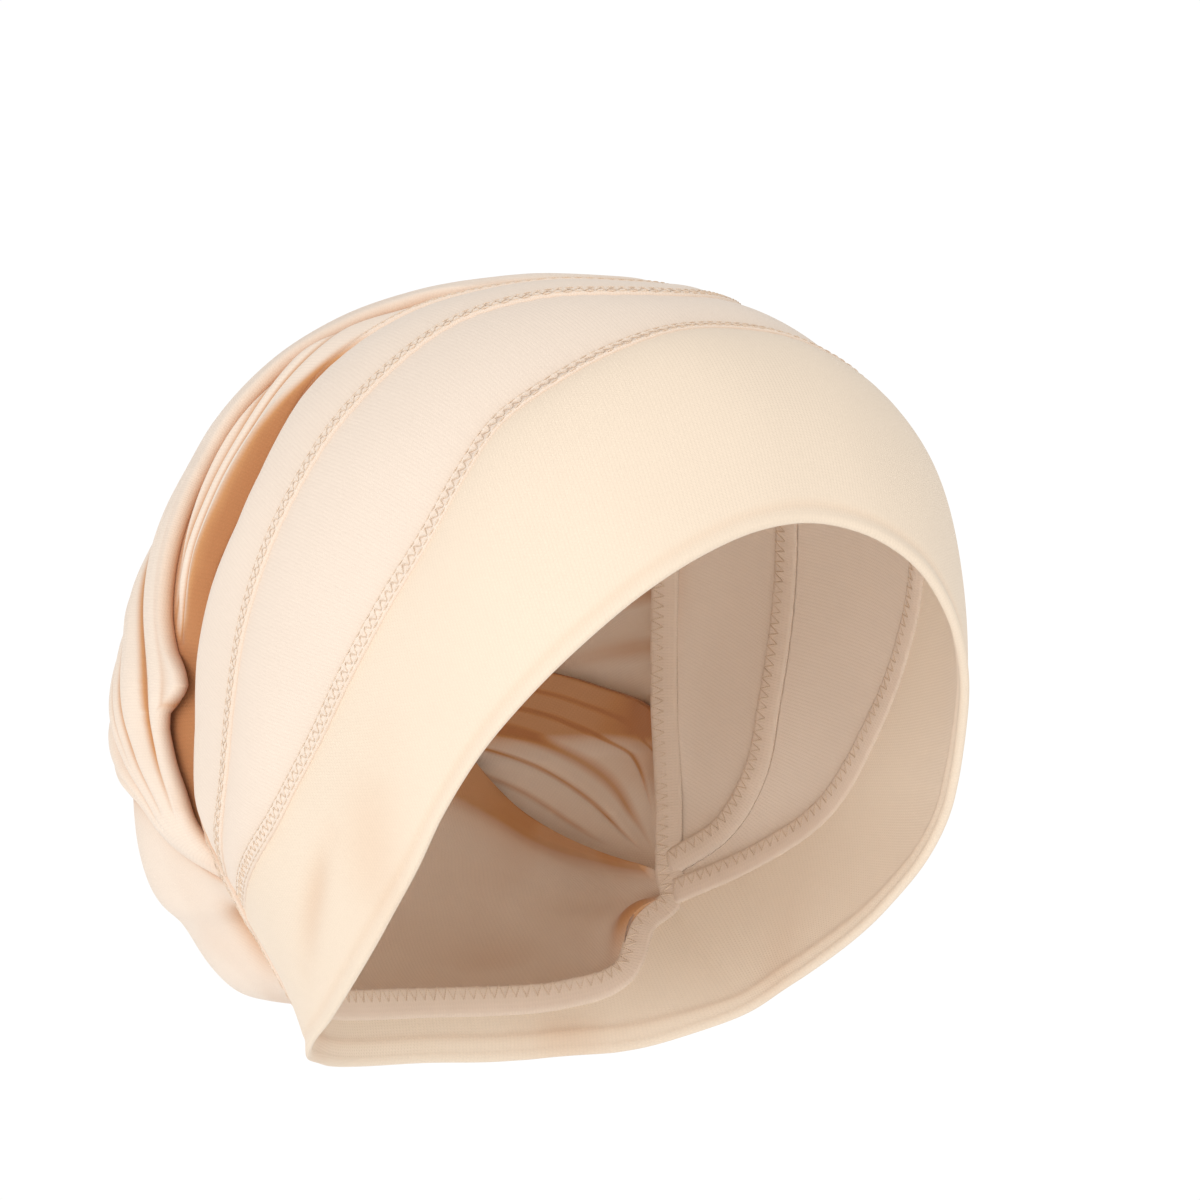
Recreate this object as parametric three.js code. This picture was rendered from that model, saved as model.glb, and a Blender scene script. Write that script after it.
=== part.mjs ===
import * as THREE from 'three';

// Hijab underscarf cap, as it sits on a head. Millimetres, +Z up, the face opening towards -Y.
// The origin is where the top of the head touches the inside of the crown.

// Head form that the cap is cut for, measured over the stretched cloth
const HEAD_WIDTH = 151;
const BROW_REACH = 92;
const OCCIPUT_REACH = 93;
const CROWN_HEIGHT = 93;
const NAPE_DEPTH = 85;
const HEAD_SQUARENESS = 2.2;
const NECK_SHARE = 0.735;
const TAPER_START = 20;

// Cloth
const BAND_WALL = 2.2;
const CLOTH_WALL = 1.6;
const SEAM_GAP = 0.3;
const LAYER_GAP = 1;

// How far the cloth swells off the head form, and the panel width from which it swells in full
const BAND_SWELL = 3.6;
const PANEL_SWELL = 0.9;
const FULL_SWELL_WIDTH = 25;
const BACK_LIFT = 5;

// Gathered back
const TWIST_REACH = 123;
const TWIST_DROP = 15;
const TWIST_SQUARENESS = 2.5;
const OVER_RISE = 3.8;
const UNDER_RISE = 3;
const POUCH_RISE = 4;
const FOLD_DEPTH = 3;

// Stations of the band between which its swell over the brow fades out
const BROW_STATIONS = [3, 8];

// How much the two side panels stop short of the point where their seams meet, in stations
const SECOND_PANEL_TRIM = 0.02;
const THIRD_PANEL_TRIM = 0.1;

// Fineness of the meshes
const STEPS_PER_STATION = 2;
const BAND_COLUMNS = 8;
const PANEL_COLUMNS = 5;
const FLOW_STEPS = 22;
const ACROSS_STEPS = 18;
const RADIUS_HALVINGS = 40;
const NORMAL_STEP = 0.004;

const COLOURS = {
  band: 0xf3e3cb,
  panel: 0xf2e0cc,
  strand: 0xf4dfbf,
  pouch: 0xeedccb,
};

// Edges of the panels, as shares of half the head's width, its depth and its height.
// Each row is a station, from the middle of the crown down to the side: across, along, up, lift.
const HEM = [
  [0, -0.96, 0.4, 0],
  [0.2, -0.955, 0.375, 0],
  [0.38, -0.925, 0.31, 0],
  [0.54, -0.865, 0.215, 0],
  [0.68, -0.78, 0.095, 0],
  [0.77, -0.685, -0.02, 0],
  [0.835, -0.59, -0.145, 0],
  [0.88, -0.49, -0.295, 0],
  [0.895, -0.39, -0.435, 0],
  [0.875, -0.26, -0.55, 0],
  [0.835, -0.12, -0.65, 0],
  [0.795, 0.02, -0.74, 0],
  [0.74, 0.17, -0.82, 0],
  [0.675, 0.33, -0.885, 0],
  [0.58, 0.47, -0.93, 0],
  [0.44, 0.59, -0.945, 0],
  [0.24, 0.68, -0.95, 0],
  [0, 0.71, -0.95, 0],
];

const FIRST_SEAM = [
  [0, -0.6, 0.86, 0.1],
  [0.2, -0.6, 0.85, 0.1],
  [0.385, -0.585, 0.8, 0],
  [0.555, -0.55, 0.725, 0],
  [0.7, -0.49, 0.625, 0],
  [0.8, -0.455, 0.495, 0],
  [0.885, -0.41, 0.355, 0],
  [0.945, -0.325, 0.215, 0],
  [0.98, -0.215, 0.065, 0],
  [1, -0.085, -0.105, 0],
  [0.985, 0.095, -0.295, 0],
  [0.925, 0.32, -0.435, 0.1],
  [0.78, 0.54, -0.54, 0.3],
];

const SECOND_SEAM = [
  [0, -0.4, 0.955, 0],
  [0.17, -0.36, 0.96, 0],
  [0.36, -0.23, 0.945, 0],
  [0.515, -0.1, 0.89, 0],
  [0.66, -0.02, 0.79, 0],
  [0.795, 0.065, 0.655, 0],
  [0.88, 0.13, 0.515, 0],
  [0.94, 0.195, 0.365, 0.1],
  [0.975, 0.26, 0.18, 0.15],
  [0.98, 0.31, 0, 0.2],
  [0.965, 0.355, -0.19, 0.2],
  [0.925, 0.45, -0.35, 0.3],
  [0.815, 0.59, -0.47, 0.4],
];

// Rim of the gathered back: the third seam, then on round the nape
const BACK_RIM = [
  [0, -0.13, 0.99, -0.1],
  [0.185, -0.085, 0.99, 0],
  [0.32, 0.085, 0.98, 0.2],
  [0.44, 0.235, 0.945, 0.4],
  [0.555, 0.355, 0.87, 0.5],
  [0.655, 0.45, 0.765, 0.5],
  [0.715, 0.515, 0.635, 0.4],
  [0.77, 0.56, 0.495, 0.5],
  [0.815, 0.61, 0.355, 0.7],
  [0.85, 0.655, 0.185, 0.9],
  [0.86, 0.665, 0, 1],
  [0.855, 0.645, -0.235, 0.8],
  [0.815, 0.59, -0.47, 0.4],
  [0.78, 0.54, -0.54, 0.3],
  [0.7, 0.57, -0.61, 0.1],
  [0.61, 0.56, -0.745, 0],
  [0.45, 0.64, -0.785, 0],
  [0.24, 0.72, -0.795, 0],
  [0, 0.75, -0.8, 0],
];

// The back seen flat: across and up, 0 at the crossing and 1 on the rim. The near side is negative.
// Each row is a station of a strand: its first edge, its middle and its second edge.
const OVER_STRAND = [
  [-0.34, 0.94, 0.68, 0.74, 0.97, -0.26],
  [-0.58, 0.58, 0.24, 0.36, 0.5, -0.12],
  [-0.69, 0.37, 0, 0.2, 0.2, -0.04],
  [-0.79, 0.19, -0.24, 0.1, -0.04, -0.03],
  [-0.89, 0, -0.46, 0.02, -0.2, -0.07],
  [-0.95, -0.12, -0.58, -0.07, -0.33, -0.12],
  [-0.92, -0.24, -0.69, -0.19, -0.49, -0.2],
  [-0.9, -0.4, -0.79, -0.36, -0.69, -0.34],
  [-0.8, -0.57, -0.79, -0.565, -0.77, -0.555],
];

const UNDER_STRAND = [
  [-0.24, 0.97, -0.18, 0.83, -0.14, 0.72],
  [-0.44, 0.9, -0.36, 0.73, -0.31, 0.61],
  [-0.64, 0.77, -0.53, 0.62, -0.45, 0.5],
  [-0.8, 0.6, -0.67, 0.49, -0.56, 0.4],
  [-0.91, 0.41, -0.76, 0.33, -0.64, 0.26],
  [-0.98, 0.2, -0.83, 0.16, -0.71, 0.11],
  [-1, 0, -0.86, 0, -0.75, -0.03],
  [-0.98, -0.2, -0.86, -0.18, -0.77, -0.16],
  [-0.945, -0.325, -0.86, -0.3, -0.8, -0.29],
];

const STRAND_TAIL = [
  [0.26, 0.06, 0.18, 0, 0.12, -0.05],
  [0.48, 0, 0.36, -0.06, 0.25, -0.12],
  [0.72, -0.08, 0.54, -0.15, 0.37, -0.22],
  [0.97, -0.2, 0.7, -0.28, 0.48, -0.33],
  [0.93, -0.37, 0.76, -0.41, 0.61, -0.44],
  [0.81, -0.55, 0.79, -0.555, 0.76, -0.57],
];

const POUCH = [
  [-0.84, -0.45, -0.82, -0.53, -0.8, -0.6],
  [-0.58, -0.2, -0.65, -0.46, -0.66, -0.75],
  [-0.26, -0.05, -0.38, -0.4, -0.44, -0.9],
  [-0.08, 0.03, -0.16, -0.37, -0.22, -0.975],
  [0.06, 0.04, 0, -0.36, 0, -1],
  [0.17, 0.02, 0.16, -0.37, 0.22, -0.975],
  [0.29, -0.05, 0.35, -0.4, 0.44, -0.9],
  [0.45, -0.25, 0.57, -0.48, 0.64, -0.77],
  [0.75, -0.54, 0.77, -0.56, 0.8, -0.6],
];

// A strand sinks where it passes beneath another, between these two distances outside it
const SINK_START = -0.08;
const SINK_END = -0.03;

// How full each strand is along its length: where along it, and the share of its rise
const OVER_FULLNESS = [
  [0.1, 0.4],
  [0.5, 1],
  [0.72, 1.5],
  [0.8, 1.4],
  [1, 0.6],
];
const UNDER_FULLNESS = [
  [0, 0],
  [0.3, 1],
  [0.6, 1],
  [0.8, 0],
];
const TAIL_FULLNESS = [
  [0.8, 1],
  [1, 0.6],
];

// Where along each strand its folds start and fade: where along it, and the share of their depth
const OVER_FOLD_REACH = [
  [0, 0],
  [0.25, 1],
  [0.75, 1],
  [0.95, 0],
];
const UNDER_FOLD_REACH = [
  [0.1, 0],
  [0.4, 1],
  [0.6, 1],
  [0.8, 0],
];
const TAIL_FOLD_REACH = [
  [0.7, 1],
  [0.95, 0],
];

// Folds that run along each strand: where across it, how wide and how deep, as shares
const OVER_FOLDS = [
  [0.16, 0.05, 0.8],
  [0.36, 0.05, 0.6],
  [0.58, 0.06, 1.2],
  [0.78, 0.05, 0.6],
];
const UNDER_FOLDS = [
  [0.42, 0.09, 1],
];
const TAIL_FOLDS = [
  [0.5, 0.1, 0.6],
];

// Puffs of the pouch, on the flat drawing of the back: across, up, how wide, and how high as a share
const POUCH_PUFFS = [
  [-0.5, -0.38, 0.17, 1],
  [-0.36, -0.64, 0.11, 0.4],
  [0, -0.62, 0.2, 0.6],
  [0.36, -0.66, 0.12, 0.5],
  [0.5, -0.42, 0.14, 0.8],
];

const HALF_WIDTH = HEAD_WIDTH / 2;
const TWIST = new THREE.Vector3(0, TWIST_REACH, -TWIST_DROP);
const CROWN_INSIDE = CROWN_HEIGHT - CLOTH_WALL;

function smooth(from, to, value) {
  return THREE.MathUtils.smoothstep(value, from, to);
}

// How wide the head form is at a height, as a share of its width at the centre
function levelShare(height) {
  if (height > 0) {
    const rise = Math.min(height / CROWN_HEIGHT, 1);
    return Math.pow(1 - Math.pow(rise, HEAD_SQUARENESS), 1 / HEAD_SQUARENESS);
  }
  return 1 - (1 - NECK_SHARE) * smooth(TAPER_START, NAPE_DEPTH, -height);
}

// Distance from the head's centre to the head form, in a direction
function headRadius(direction) {
  const depth = direction.y < 0 ? BROW_REACH : OCCIPUT_REACH;
  const across = Math.pow(Math.abs(direction.x) / HALF_WIDTH, HEAD_SQUARENESS);
  const along = Math.pow(Math.abs(direction.y) / depth, HEAD_SQUARENESS);
  const level = Math.pow(across + along, 1 / HEAD_SQUARENESS);
  let near = 0;
  let far = 2 * (HALF_WIDTH + BROW_REACH + OCCIPUT_REACH);
  for (let step = 0; step < RADIUS_HALVINGS; step += 1) {
    const middle = (near + far) / 2;
    if (middle * level > levelShare(middle * direction.z)) {
      far = middle;
    } else {
      near = middle;
    }
  }
  return near;
}

function edgePoint([across, along, up, lift], side) {
  const depth = along < 0 ? BROW_REACH : OCCIPUT_REACH;
  const height = up < 0 ? NAPE_DEPTH : CROWN_HEIGHT;
  const point = new THREE.Vector3(side * across * HALF_WIDTH, along * depth, up * height);
  point.normalize();
  return point.multiplyScalar(headRadius(point) + lift * BACK_LIFT);
}

// Edge that crosses the crown and ends on both sides
function openEdge(rows) {
  const left = rows.map((row) => edgePoint(row, 1));
  const right = rows.slice(1).map((row) => edgePoint(row, -1)).reverse();
  const curve = new THREE.CatmullRomCurve3([...right, ...left], false, 'centripetal');
  const last = rows.length - 1;
  return (station) => curve.getPoint((station + last) / (2 * last));
}

// Edge that runs right round, down the left side and up the right
function closedCurve(rows) {
  const left = rows.map((row) => edgePoint(row, 1));
  const right = rows.slice(1, -1).map((row) => edgePoint(row, -1)).reverse();
  return new THREE.CatmullRomCurve3([...left, ...right], true, 'centripetal');
}

function closedEdge(curve, rows) {
  const round = 2 * (rows.length - 1);
  return (station) => curve.getPoint(THREE.MathUtils.euclideanModulo(station / round, 1));
}

const rimCurve = closedCurve(BACK_RIM);
const rim = closedEdge(rimCurve, BACK_RIM);
const hem = closedEdge(closedCurve(HEM), HEM);
const firstSeam = openEdge(FIRST_SEAM);
const secondSeam = openEdge(SECOND_SEAM);
const SIDE_STATION = FIRST_SEAM.length - 1;
const NAPE_STATION = HEM.length - 1;

// Back edge of the front band: the first seam, then the rim of the gathered back
function bandBack(station) {
  if (Math.abs(station) <= SIDE_STATION) {
    return firstSeam(station);
  }
  return rim(station + Math.sign(station));
}

// Closed shell between an outer and an inner grid of points, both as rows of equal length
function shell(name, outer, inner, colour, wraps) {
  const rows = outer.length;
  const columns = outer[0].length;
  const points = [...outer.flat(), ...inner.flat()];
  const triangles = [];
  const at = (layer, row, column) => layer * rows * columns + (row % rows) * columns + column;
  const face = (a, b, c, d) => triangles.push(a, b, c, a, c, d);
  const rowSteps = wraps ? rows : rows - 1;
  for (let row = 0; row < rowSteps; row += 1) {
    for (let column = 0; column < columns - 1; column += 1) {
      face(at(0, row, column), at(0, row + 1, column), at(0, row + 1, column + 1), at(0, row, column + 1));
      face(at(1, row, column), at(1, row, column + 1), at(1, row + 1, column + 1), at(1, row + 1, column));
    }
    face(at(0, row, 0), at(1, row, 0), at(1, row + 1, 0), at(0, row + 1, 0));
    const end = columns - 1;
    face(at(0, row, end), at(0, row + 1, end), at(1, row + 1, end), at(1, row, end));
  }
  if (!wraps) {
    const last = rows - 1;
    for (let column = 0; column < columns - 1; column += 1) {
      face(at(0, 0, column), at(0, 0, column + 1), at(1, 0, column + 1), at(1, 0, column));
      face(at(0, last, column), at(1, last, column), at(1, last, column + 1), at(0, last, column + 1));
    }
  }
  const geometry = new THREE.BufferGeometry();
  geometry.setAttribute('position', new THREE.Float32BufferAttribute(points.flatMap((p) => p.toArray()), 3));
  geometry.setIndex(turnedOut(points, triangles));
  geometry.computeVertexNormals();
  const material = new THREE.MeshStandardMaterial({ color: colour, roughness: 0.85, metalness: 0 });
  const mesh = new THREE.Mesh(geometry, material);
  mesh.name = name;
  return mesh;
}

// The triangles with their faces pointing out of the solid
function turnedOut(points, triangles) {
  let volume = 0;
  for (let i = 0; i < triangles.length; i += 3) {
    const [a, b, c] = [points[triangles[i]], points[triangles[i + 1]], points[triangles[i + 2]]];
    volume += a.dot(new THREE.Vector3().crossVectors(b, c));
  }
  return volume > 0 ? triangles : triangles.reverse();
}

// Panel of cloth that lies on the head form between two edges
function panel(name, frontEdge, backEdge, stations, options) {
  const { wall, swell, colour, frontGap, wraps, columns } = options;
  const outer = [];
  const inner = [];
  for (const station of stations) {
    const front = frontEdge(station);
    const back = backEdge(station);
    const width = front.distanceTo(back);
    const frontLift = front.length() - headRadius(front.clone().normalize());
    const backLift = back.length() - headRadius(back.clone().normalize());
    const first = frontGap / width;
    const last = 1 - SEAM_GAP / 2 / width;
    const outerRow = [];
    const innerRow = [];
    for (let column = 0; column <= columns; column += 1) {
      const share = THREE.MathUtils.lerp(first, last, column / columns);
      const direction = front.clone().lerp(back, share).normalize();
      const lift = THREE.MathUtils.lerp(frontLift, backLift, share);
      const radius = headRadius(direction) + lift + swell(station, share, width);
      outerRow.push(direction.clone().multiplyScalar(radius));
      innerRow.push(direction.clone().multiplyScalar(radius - wall));
    }
    outer.push(outerRow);
    inner.push(innerRow);
  }
  return shell(name, outer, inner, colour, wraps);
}

function stationsBetween(first, last, count) {
  return Array.from({ length: count + 1 }, (_, i) => THREE.MathUtils.lerp(first, last, i / count));
}

function roundStations() {
  const count = 2 * NAPE_STATION * STEPS_PER_STATION;
  const all = stationsBetween(0, 2 * NAPE_STATION, count).slice(0, -1);
  return all.map((station) => (station > NAPE_STATION ? station - 2 * NAPE_STATION : station));
}

// The gathered back, before its strands are raised: a rounded bag from the rim to the crossing
function backPoint(across, up) {
  const reach = Math.min(Math.hypot(across, up), 1);
  const turn = Math.atan2(across, up) / (2 * Math.PI);
  const edge = rimCurve.getPointAt(THREE.MathUtils.euclideanModulo(turn, 1));
  const angle = (1 - Math.pow(1 - reach, TWIST_SQUARENESS / 2)) * Math.PI / 2;
  const spread = Math.pow(Math.sin(angle), 2 / TWIST_SQUARENESS);
  const depth = Math.pow(Math.max(Math.cos(angle), 0), 2 / TWIST_SQUARENESS);
  return new THREE.Vector3(
    THREE.MathUtils.lerp(TWIST.x, edge.x, spread),
    THREE.MathUtils.lerp(edge.y, TWIST.y, depth),
    THREE.MathUtils.lerp(TWIST.z, edge.z, spread),
  );
}

function backNormal(across, up) {
  const step = NORMAL_STEP;
  const shrink = Math.min(1, (1 - 2 * step) / Math.max(Math.hypot(across, up), step));
  const [x, z] = [across * shrink, up * shrink];
  const alongAcross = backPoint(x + step, z).sub(backPoint(x - step, z));
  const alongUp = backPoint(x, z + step).sub(backPoint(x, z - step));
  return new THREE.Vector3().crossVectors(alongUp, alongAcross).normalize();
}

function raisedPoint(across, up, height) {
  return backPoint(across, up).addScaledVector(backNormal(across, up), height);
}

// The three curves of a strand's table, on the flat drawing of the back
function strandCurves(rows) {
  return [0, 2, 4].map((column) => {
    const points = rows.map((row) => new THREE.Vector2(row[column], row[column + 1]));
    return new THREE.SplineCurve(points);
  });
}

function strandSpot(curves, flow, across, startsOnRim = false) {
  const [first, middle, second] = curves.map((curve) => curve.getPoint(flow));
  const spot = first.multiplyScalar((1 - across) * (1 - 2 * across));
  spot.addScaledVector(middle, 4 * across * (1 - across));
  spot.addScaledVector(second, across * (2 * across - 1));
  const limit = 1 - RIM_CLEARANCE;
  const onRim = startsOnRim ? 1 - smooth(0, 0.12, flow) : 0;
  const reach = THREE.MathUtils.lerp(spot.length(), limit, onRim);
  return spot.setLength(Math.min(reach, limit));
}

const RIM_CLEARANCE = 2 * SEAM_GAP / TWIST_REACH;
const overCurves = strandCurves(OVER_STRAND);
const underCurves = strandCurves(UNDER_STRAND);
const tailCurves = strandCurves(STRAND_TAIL);
const pouchCurves = strandCurves(POUCH);

function strandOutline(curves, startsOnRim = false) {
  const flows = stationsBetween(0, 1, FLOW_STEPS);
  const sides = stationsBetween(0, 1, ACROSS_STEPS);
  const starts = sides.map((across) => strandSpot(curves, 0, across, startsOnRim));
  const first = flows.slice(1).map((flow) => strandSpot(curves, flow, 0, startsOnRim));
  const second = flows.slice(1).map((flow) => strandSpot(curves, flow, 1, startsOnRim));
  return [...starts.reverse(), ...first, ...second.reverse()];
}

// How far a spot lies inside an outline, negative outside
function depthInside(spot, outline) {
  let nearest = Infinity;
  let inside = false;
  outline.forEach((start, i) => {
    const end = outline[(i + 1) % outline.length];
    const side = new THREE.Vector2().subVectors(end, start);
    const toSpot = new THREE.Vector2().subVectors(spot, start);
    const share = THREE.MathUtils.clamp(toSpot.dot(side) / Math.max(side.lengthSq(), 1e-9), 0, 1);
    nearest = Math.min(nearest, toSpot.addScaledVector(side, -share).length());
    const crosses = (start.y > spot.y) !== (end.y > spot.y);
    if (crosses && spot.x < start.x + side.x * (spot.y - start.y) / side.y) {
      inside = !inside;
    }
  });
  return inside ? nearest : -nearest;
}

const overOutline = strandOutline(overCurves, true);
const tailOutline = strandOutline(tailCurves);
const underOutline = strandOutline(underCurves);

// 1 under a strand and 0 clear of it
function covered(spot, outline) {
  return smooth(SINK_START, SINK_END, depthInside(spot, outline));
}

function foldDepth(folds, across) {
  return folds.reduce((sum, [at, width, depth]) => {
    const away = (across - at) / width;
    return sum + depth * FOLD_DEPTH * Math.exp(-away * away);
  }, 0);
}

function rounded(across) {
  return Math.sqrt(Math.sin(Math.PI * THREE.MathUtils.clamp(across, 0, 1)));
}

// Value of a table of places and shares at a place, smooth between its rows
function shareAt(table, place) {
  const next = table.findIndex(([at]) => at > place);
  if (next <= 0) {
    return next === 0 ? table[0][1] : table[table.length - 1][1];
  }
  const [[start, from], [end, to]] = [table[next - 1], table[next]];
  return THREE.MathUtils.lerp(from, to, smooth(start, end, place));
}

// Height of a strand's outer face over its own foot
function strandHeight(flow, across, { rise, fullness, folds, foldReach }) {
  const body = rounded(across) * rise * shareAt(fullness, flow);
  return Math.max(body - foldDepth(folds, across) * shareAt(foldReach, flow), 0);
}

const OVER_SHAPE = {
  rise: OVER_RISE,
  fullness: OVER_FULLNESS,
  folds: OVER_FOLDS,
  foldReach: OVER_FOLD_REACH,
};
const UNDER_SHAPE = {
  rise: UNDER_RISE,
  fullness: UNDER_FULLNESS,
  folds: UNDER_FOLDS,
  foldReach: UNDER_FOLD_REACH,
};
const TAIL_SHAPE = {
  rise: UNDER_RISE,
  fullness: TAIL_FULLNESS,
  folds: TAIL_FOLDS,
  foldReach: TAIL_FOLD_REACH,
};

function pouchHeight(across, spot) {
  const puffs = POUCH_PUFFS.reduce((sum, [x, z, width, height]) => {
    const away = Math.hypot(spot.x - x, spot.y - z) / width;
    return sum + height * Math.exp(-away * away);
  }, 0);
  return puffs * POUCH_RISE * (1 - smooth(0.85, 1, across));
}

// Strand of the gathered back, as a shell raised off the bag by a height
function strand(name, curves, height, colour, startsOnRim = false) {
  const outer = [];
  const inner = [];
  for (const flow of stationsBetween(0, 1, FLOW_STEPS)) {
    const outerRow = [];
    const innerRow = [];
    for (const across of stationsBetween(0, 1, ACROSS_STEPS)) {
      const spot = strandSpot(curves, flow, across, startsOnRim);
      const rise = height(flow, across, spot);
      outerRow.push(raisedPoint(spot.x, spot.y, rise));
      innerRow.push(raisedPoint(spot.x, spot.y, rise - CLOTH_WALL));
    }
    outer.push(outerRow);
    inner.push(innerRow);
  }
  return shell(name, outer, inner, colour, false);
}

function beneath(height, spot, outlines, level) {
  const hidden = Math.max(...outlines.map((outline) => covered(spot, outline)));
  return THREE.MathUtils.lerp(height, level, hidden);
}

const OVER_LEVEL = CLOTH_WALL + LAYER_GAP / 2;
const UNDER_LEVEL = -LAYER_GAP / 2;
const POUCH_LEVEL = -CLOTH_WALL - 1.5 * LAYER_GAP;

function bandSwell(station, share) {
  const brow = 1 - smooth(...BROW_STATIONS, Math.abs(station));
  return BAND_SWELL * brow * Math.pow(Math.sin(Math.PI * Math.pow(share, 2.2)), 0.6);
}

function panelSwell(station, share, width) {
  return PANEL_SWELL * Math.sin(Math.PI * share) * smooth(0, FULL_SWELL_WIDTH, width);
}

function crownStations(trim) {
  const end = SIDE_STATION - trim;
  return stationsBetween(-end, end, 2 * SIDE_STATION * STEPS_PER_STATION);
}

const group = new THREE.Group();

group.add(panel('front_band', hem, bandBack, roundStations(), {
  wall: BAND_WALL,
  colour: COLOURS.band,
  frontGap: 0,
  wraps: true,
  columns: BAND_COLUMNS,
  swell: bandSwell,
}));

group.add(panel('second_panel', firstSeam, secondSeam, crownStations(SECOND_PANEL_TRIM), {
  wall: CLOTH_WALL,
  colour: COLOURS.panel,
  frontGap: SEAM_GAP / 2,
  wraps: false,
  columns: PANEL_COLUMNS,
  swell: panelSwell,
}));

group.add(panel('third_panel', secondSeam, rim, crownStations(THIRD_PANEL_TRIM), {
  wall: CLOTH_WALL,
  colour: COLOURS.panel,
  frontGap: SEAM_GAP / 2,
  wraps: false,
  columns: PANEL_COLUMNS,
  swell: panelSwell,
}));

group.add(strand('over_strand', overCurves, (flow, across) => (
  OVER_LEVEL + strandHeight(flow, across, OVER_SHAPE)
), COLOURS.strand, true));

group.add(strand('under_strand', underCurves, (flow, across, spot) => (
  beneath(strandHeight(flow, across, UNDER_SHAPE), spot, [overOutline], UNDER_LEVEL)
), COLOURS.strand));

group.add(strand('under_strand_tail', tailCurves, (flow, across, spot) => (
  beneath(strandHeight(flow, across, TAIL_SHAPE), spot, [overOutline], UNDER_LEVEL)
), COLOURS.strand));

group.add(strand('nape_pouch', pouchCurves, (flow, across, spot) => (
  beneath(pouchHeight(across, spot), spot, [overOutline, underOutline, tailOutline], POUCH_LEVEL)
), COLOURS.pouch));

group.position.z = -CROWN_INSIDE;

export default group;
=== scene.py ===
import math

import bpy
import numpy as np
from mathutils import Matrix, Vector


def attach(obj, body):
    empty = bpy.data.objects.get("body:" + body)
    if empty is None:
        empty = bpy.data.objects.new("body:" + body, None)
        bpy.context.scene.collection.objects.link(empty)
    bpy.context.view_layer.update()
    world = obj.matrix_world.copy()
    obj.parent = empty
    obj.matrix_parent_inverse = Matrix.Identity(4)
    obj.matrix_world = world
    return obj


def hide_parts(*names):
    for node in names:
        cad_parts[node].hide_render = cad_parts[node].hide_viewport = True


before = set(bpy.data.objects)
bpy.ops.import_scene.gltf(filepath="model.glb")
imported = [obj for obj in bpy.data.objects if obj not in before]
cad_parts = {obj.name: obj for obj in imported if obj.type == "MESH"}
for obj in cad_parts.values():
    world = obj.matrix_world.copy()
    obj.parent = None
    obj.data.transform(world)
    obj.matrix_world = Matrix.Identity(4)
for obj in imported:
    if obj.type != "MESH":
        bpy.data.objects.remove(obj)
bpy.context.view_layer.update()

# Head form that the cap is cut for, in millimetres, measured over the stretched cloth
HEAD_WIDTH = 151
BROW_REACH = 92
OCCIPUT_REACH = 93
CROWN_HEIGHT = 93
NAPE_DEPTH = 85
HEAD_SQUARENESS = 2.2
NECK_SHARE = 0.735
TAPER_START = 20

# Cloth
BAND_WALL = 2.2
CLOTH_WALL = 1.6
LAYER_GAP = 1
BAND_SWELL = 3.6
PANEL_SWELL = 0.9
FULL_SWELL_WIDTH = 25
BACK_LIFT = 5
RADIUS_HALVINGS = 30

# Gathered back
TWIST_REACH = 123
TWIST_DROP = 15
TWIST_SQUARENESS = 2.5
OVER_RISE = 3.8
UNDER_RISE = 3
POUCH_RISE = 4
FOLD_DEPTH = 3
NORMAL_STEP = 0.004

CROWN_INSIDE = CROWN_HEIGHT - CLOTH_WALL
HALF_WIDTH = HEAD_WIDTH / 2
MM = 0.001

# Edges of the panels, as shares of half the head's width, its depth and its height.
# Each row is a station, from the middle of the crown down to the side: across, along, up, lift.
HEM = [
    [0, -0.96, 0.4, 0],
    [0.2, -0.955, 0.375, 0],
    [0.38, -0.925, 0.31, 0],
    [0.54, -0.865, 0.215, 0],
    [0.68, -0.78, 0.095, 0],
    [0.77, -0.685, -0.02, 0],
    [0.835, -0.59, -0.145, 0],
    [0.88, -0.49, -0.295, 0],
    [0.895, -0.39, -0.435, 0],
    [0.875, -0.26, -0.55, 0],
    [0.835, -0.12, -0.65, 0],
    [0.795, 0.02, -0.74, 0],
    [0.74, 0.17, -0.82, 0],
    [0.675, 0.33, -0.885, 0],
    [0.58, 0.47, -0.93, 0],
    [0.44, 0.59, -0.945, 0],
    [0.24, 0.68, -0.95, 0],
    [0, 0.71, -0.95, 0],
]

FIRST_SEAM = [
    [0, -0.6, 0.86, 0.1],
    [0.2, -0.6, 0.85, 0.1],
    [0.385, -0.585, 0.8, 0],
    [0.555, -0.55, 0.725, 0],
    [0.7, -0.49, 0.625, 0],
    [0.8, -0.455, 0.495, 0],
    [0.885, -0.41, 0.355, 0],
    [0.945, -0.325, 0.215, 0],
    [0.98, -0.215, 0.065, 0],
    [1, -0.085, -0.105, 0],
    [0.985, 0.095, -0.295, 0],
    [0.925, 0.32, -0.435, 0.1],
    [0.78, 0.54, -0.54, 0.3],
]

SECOND_SEAM = [
    [0, -0.4, 0.955, 0],
    [0.17, -0.36, 0.96, 0],
    [0.36, -0.23, 0.945, 0],
    [0.515, -0.1, 0.89, 0],
    [0.66, -0.02, 0.79, 0],
    [0.795, 0.065, 0.655, 0],
    [0.88, 0.13, 0.515, 0],
    [0.94, 0.195, 0.365, 0.1],
    [0.975, 0.26, 0.18, 0.15],
    [0.98, 0.31, 0, 0.2],
    [0.965, 0.355, -0.19, 0.2],
    [0.925, 0.45, -0.35, 0.3],
    [0.815, 0.59, -0.47, 0.4],
]

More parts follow.
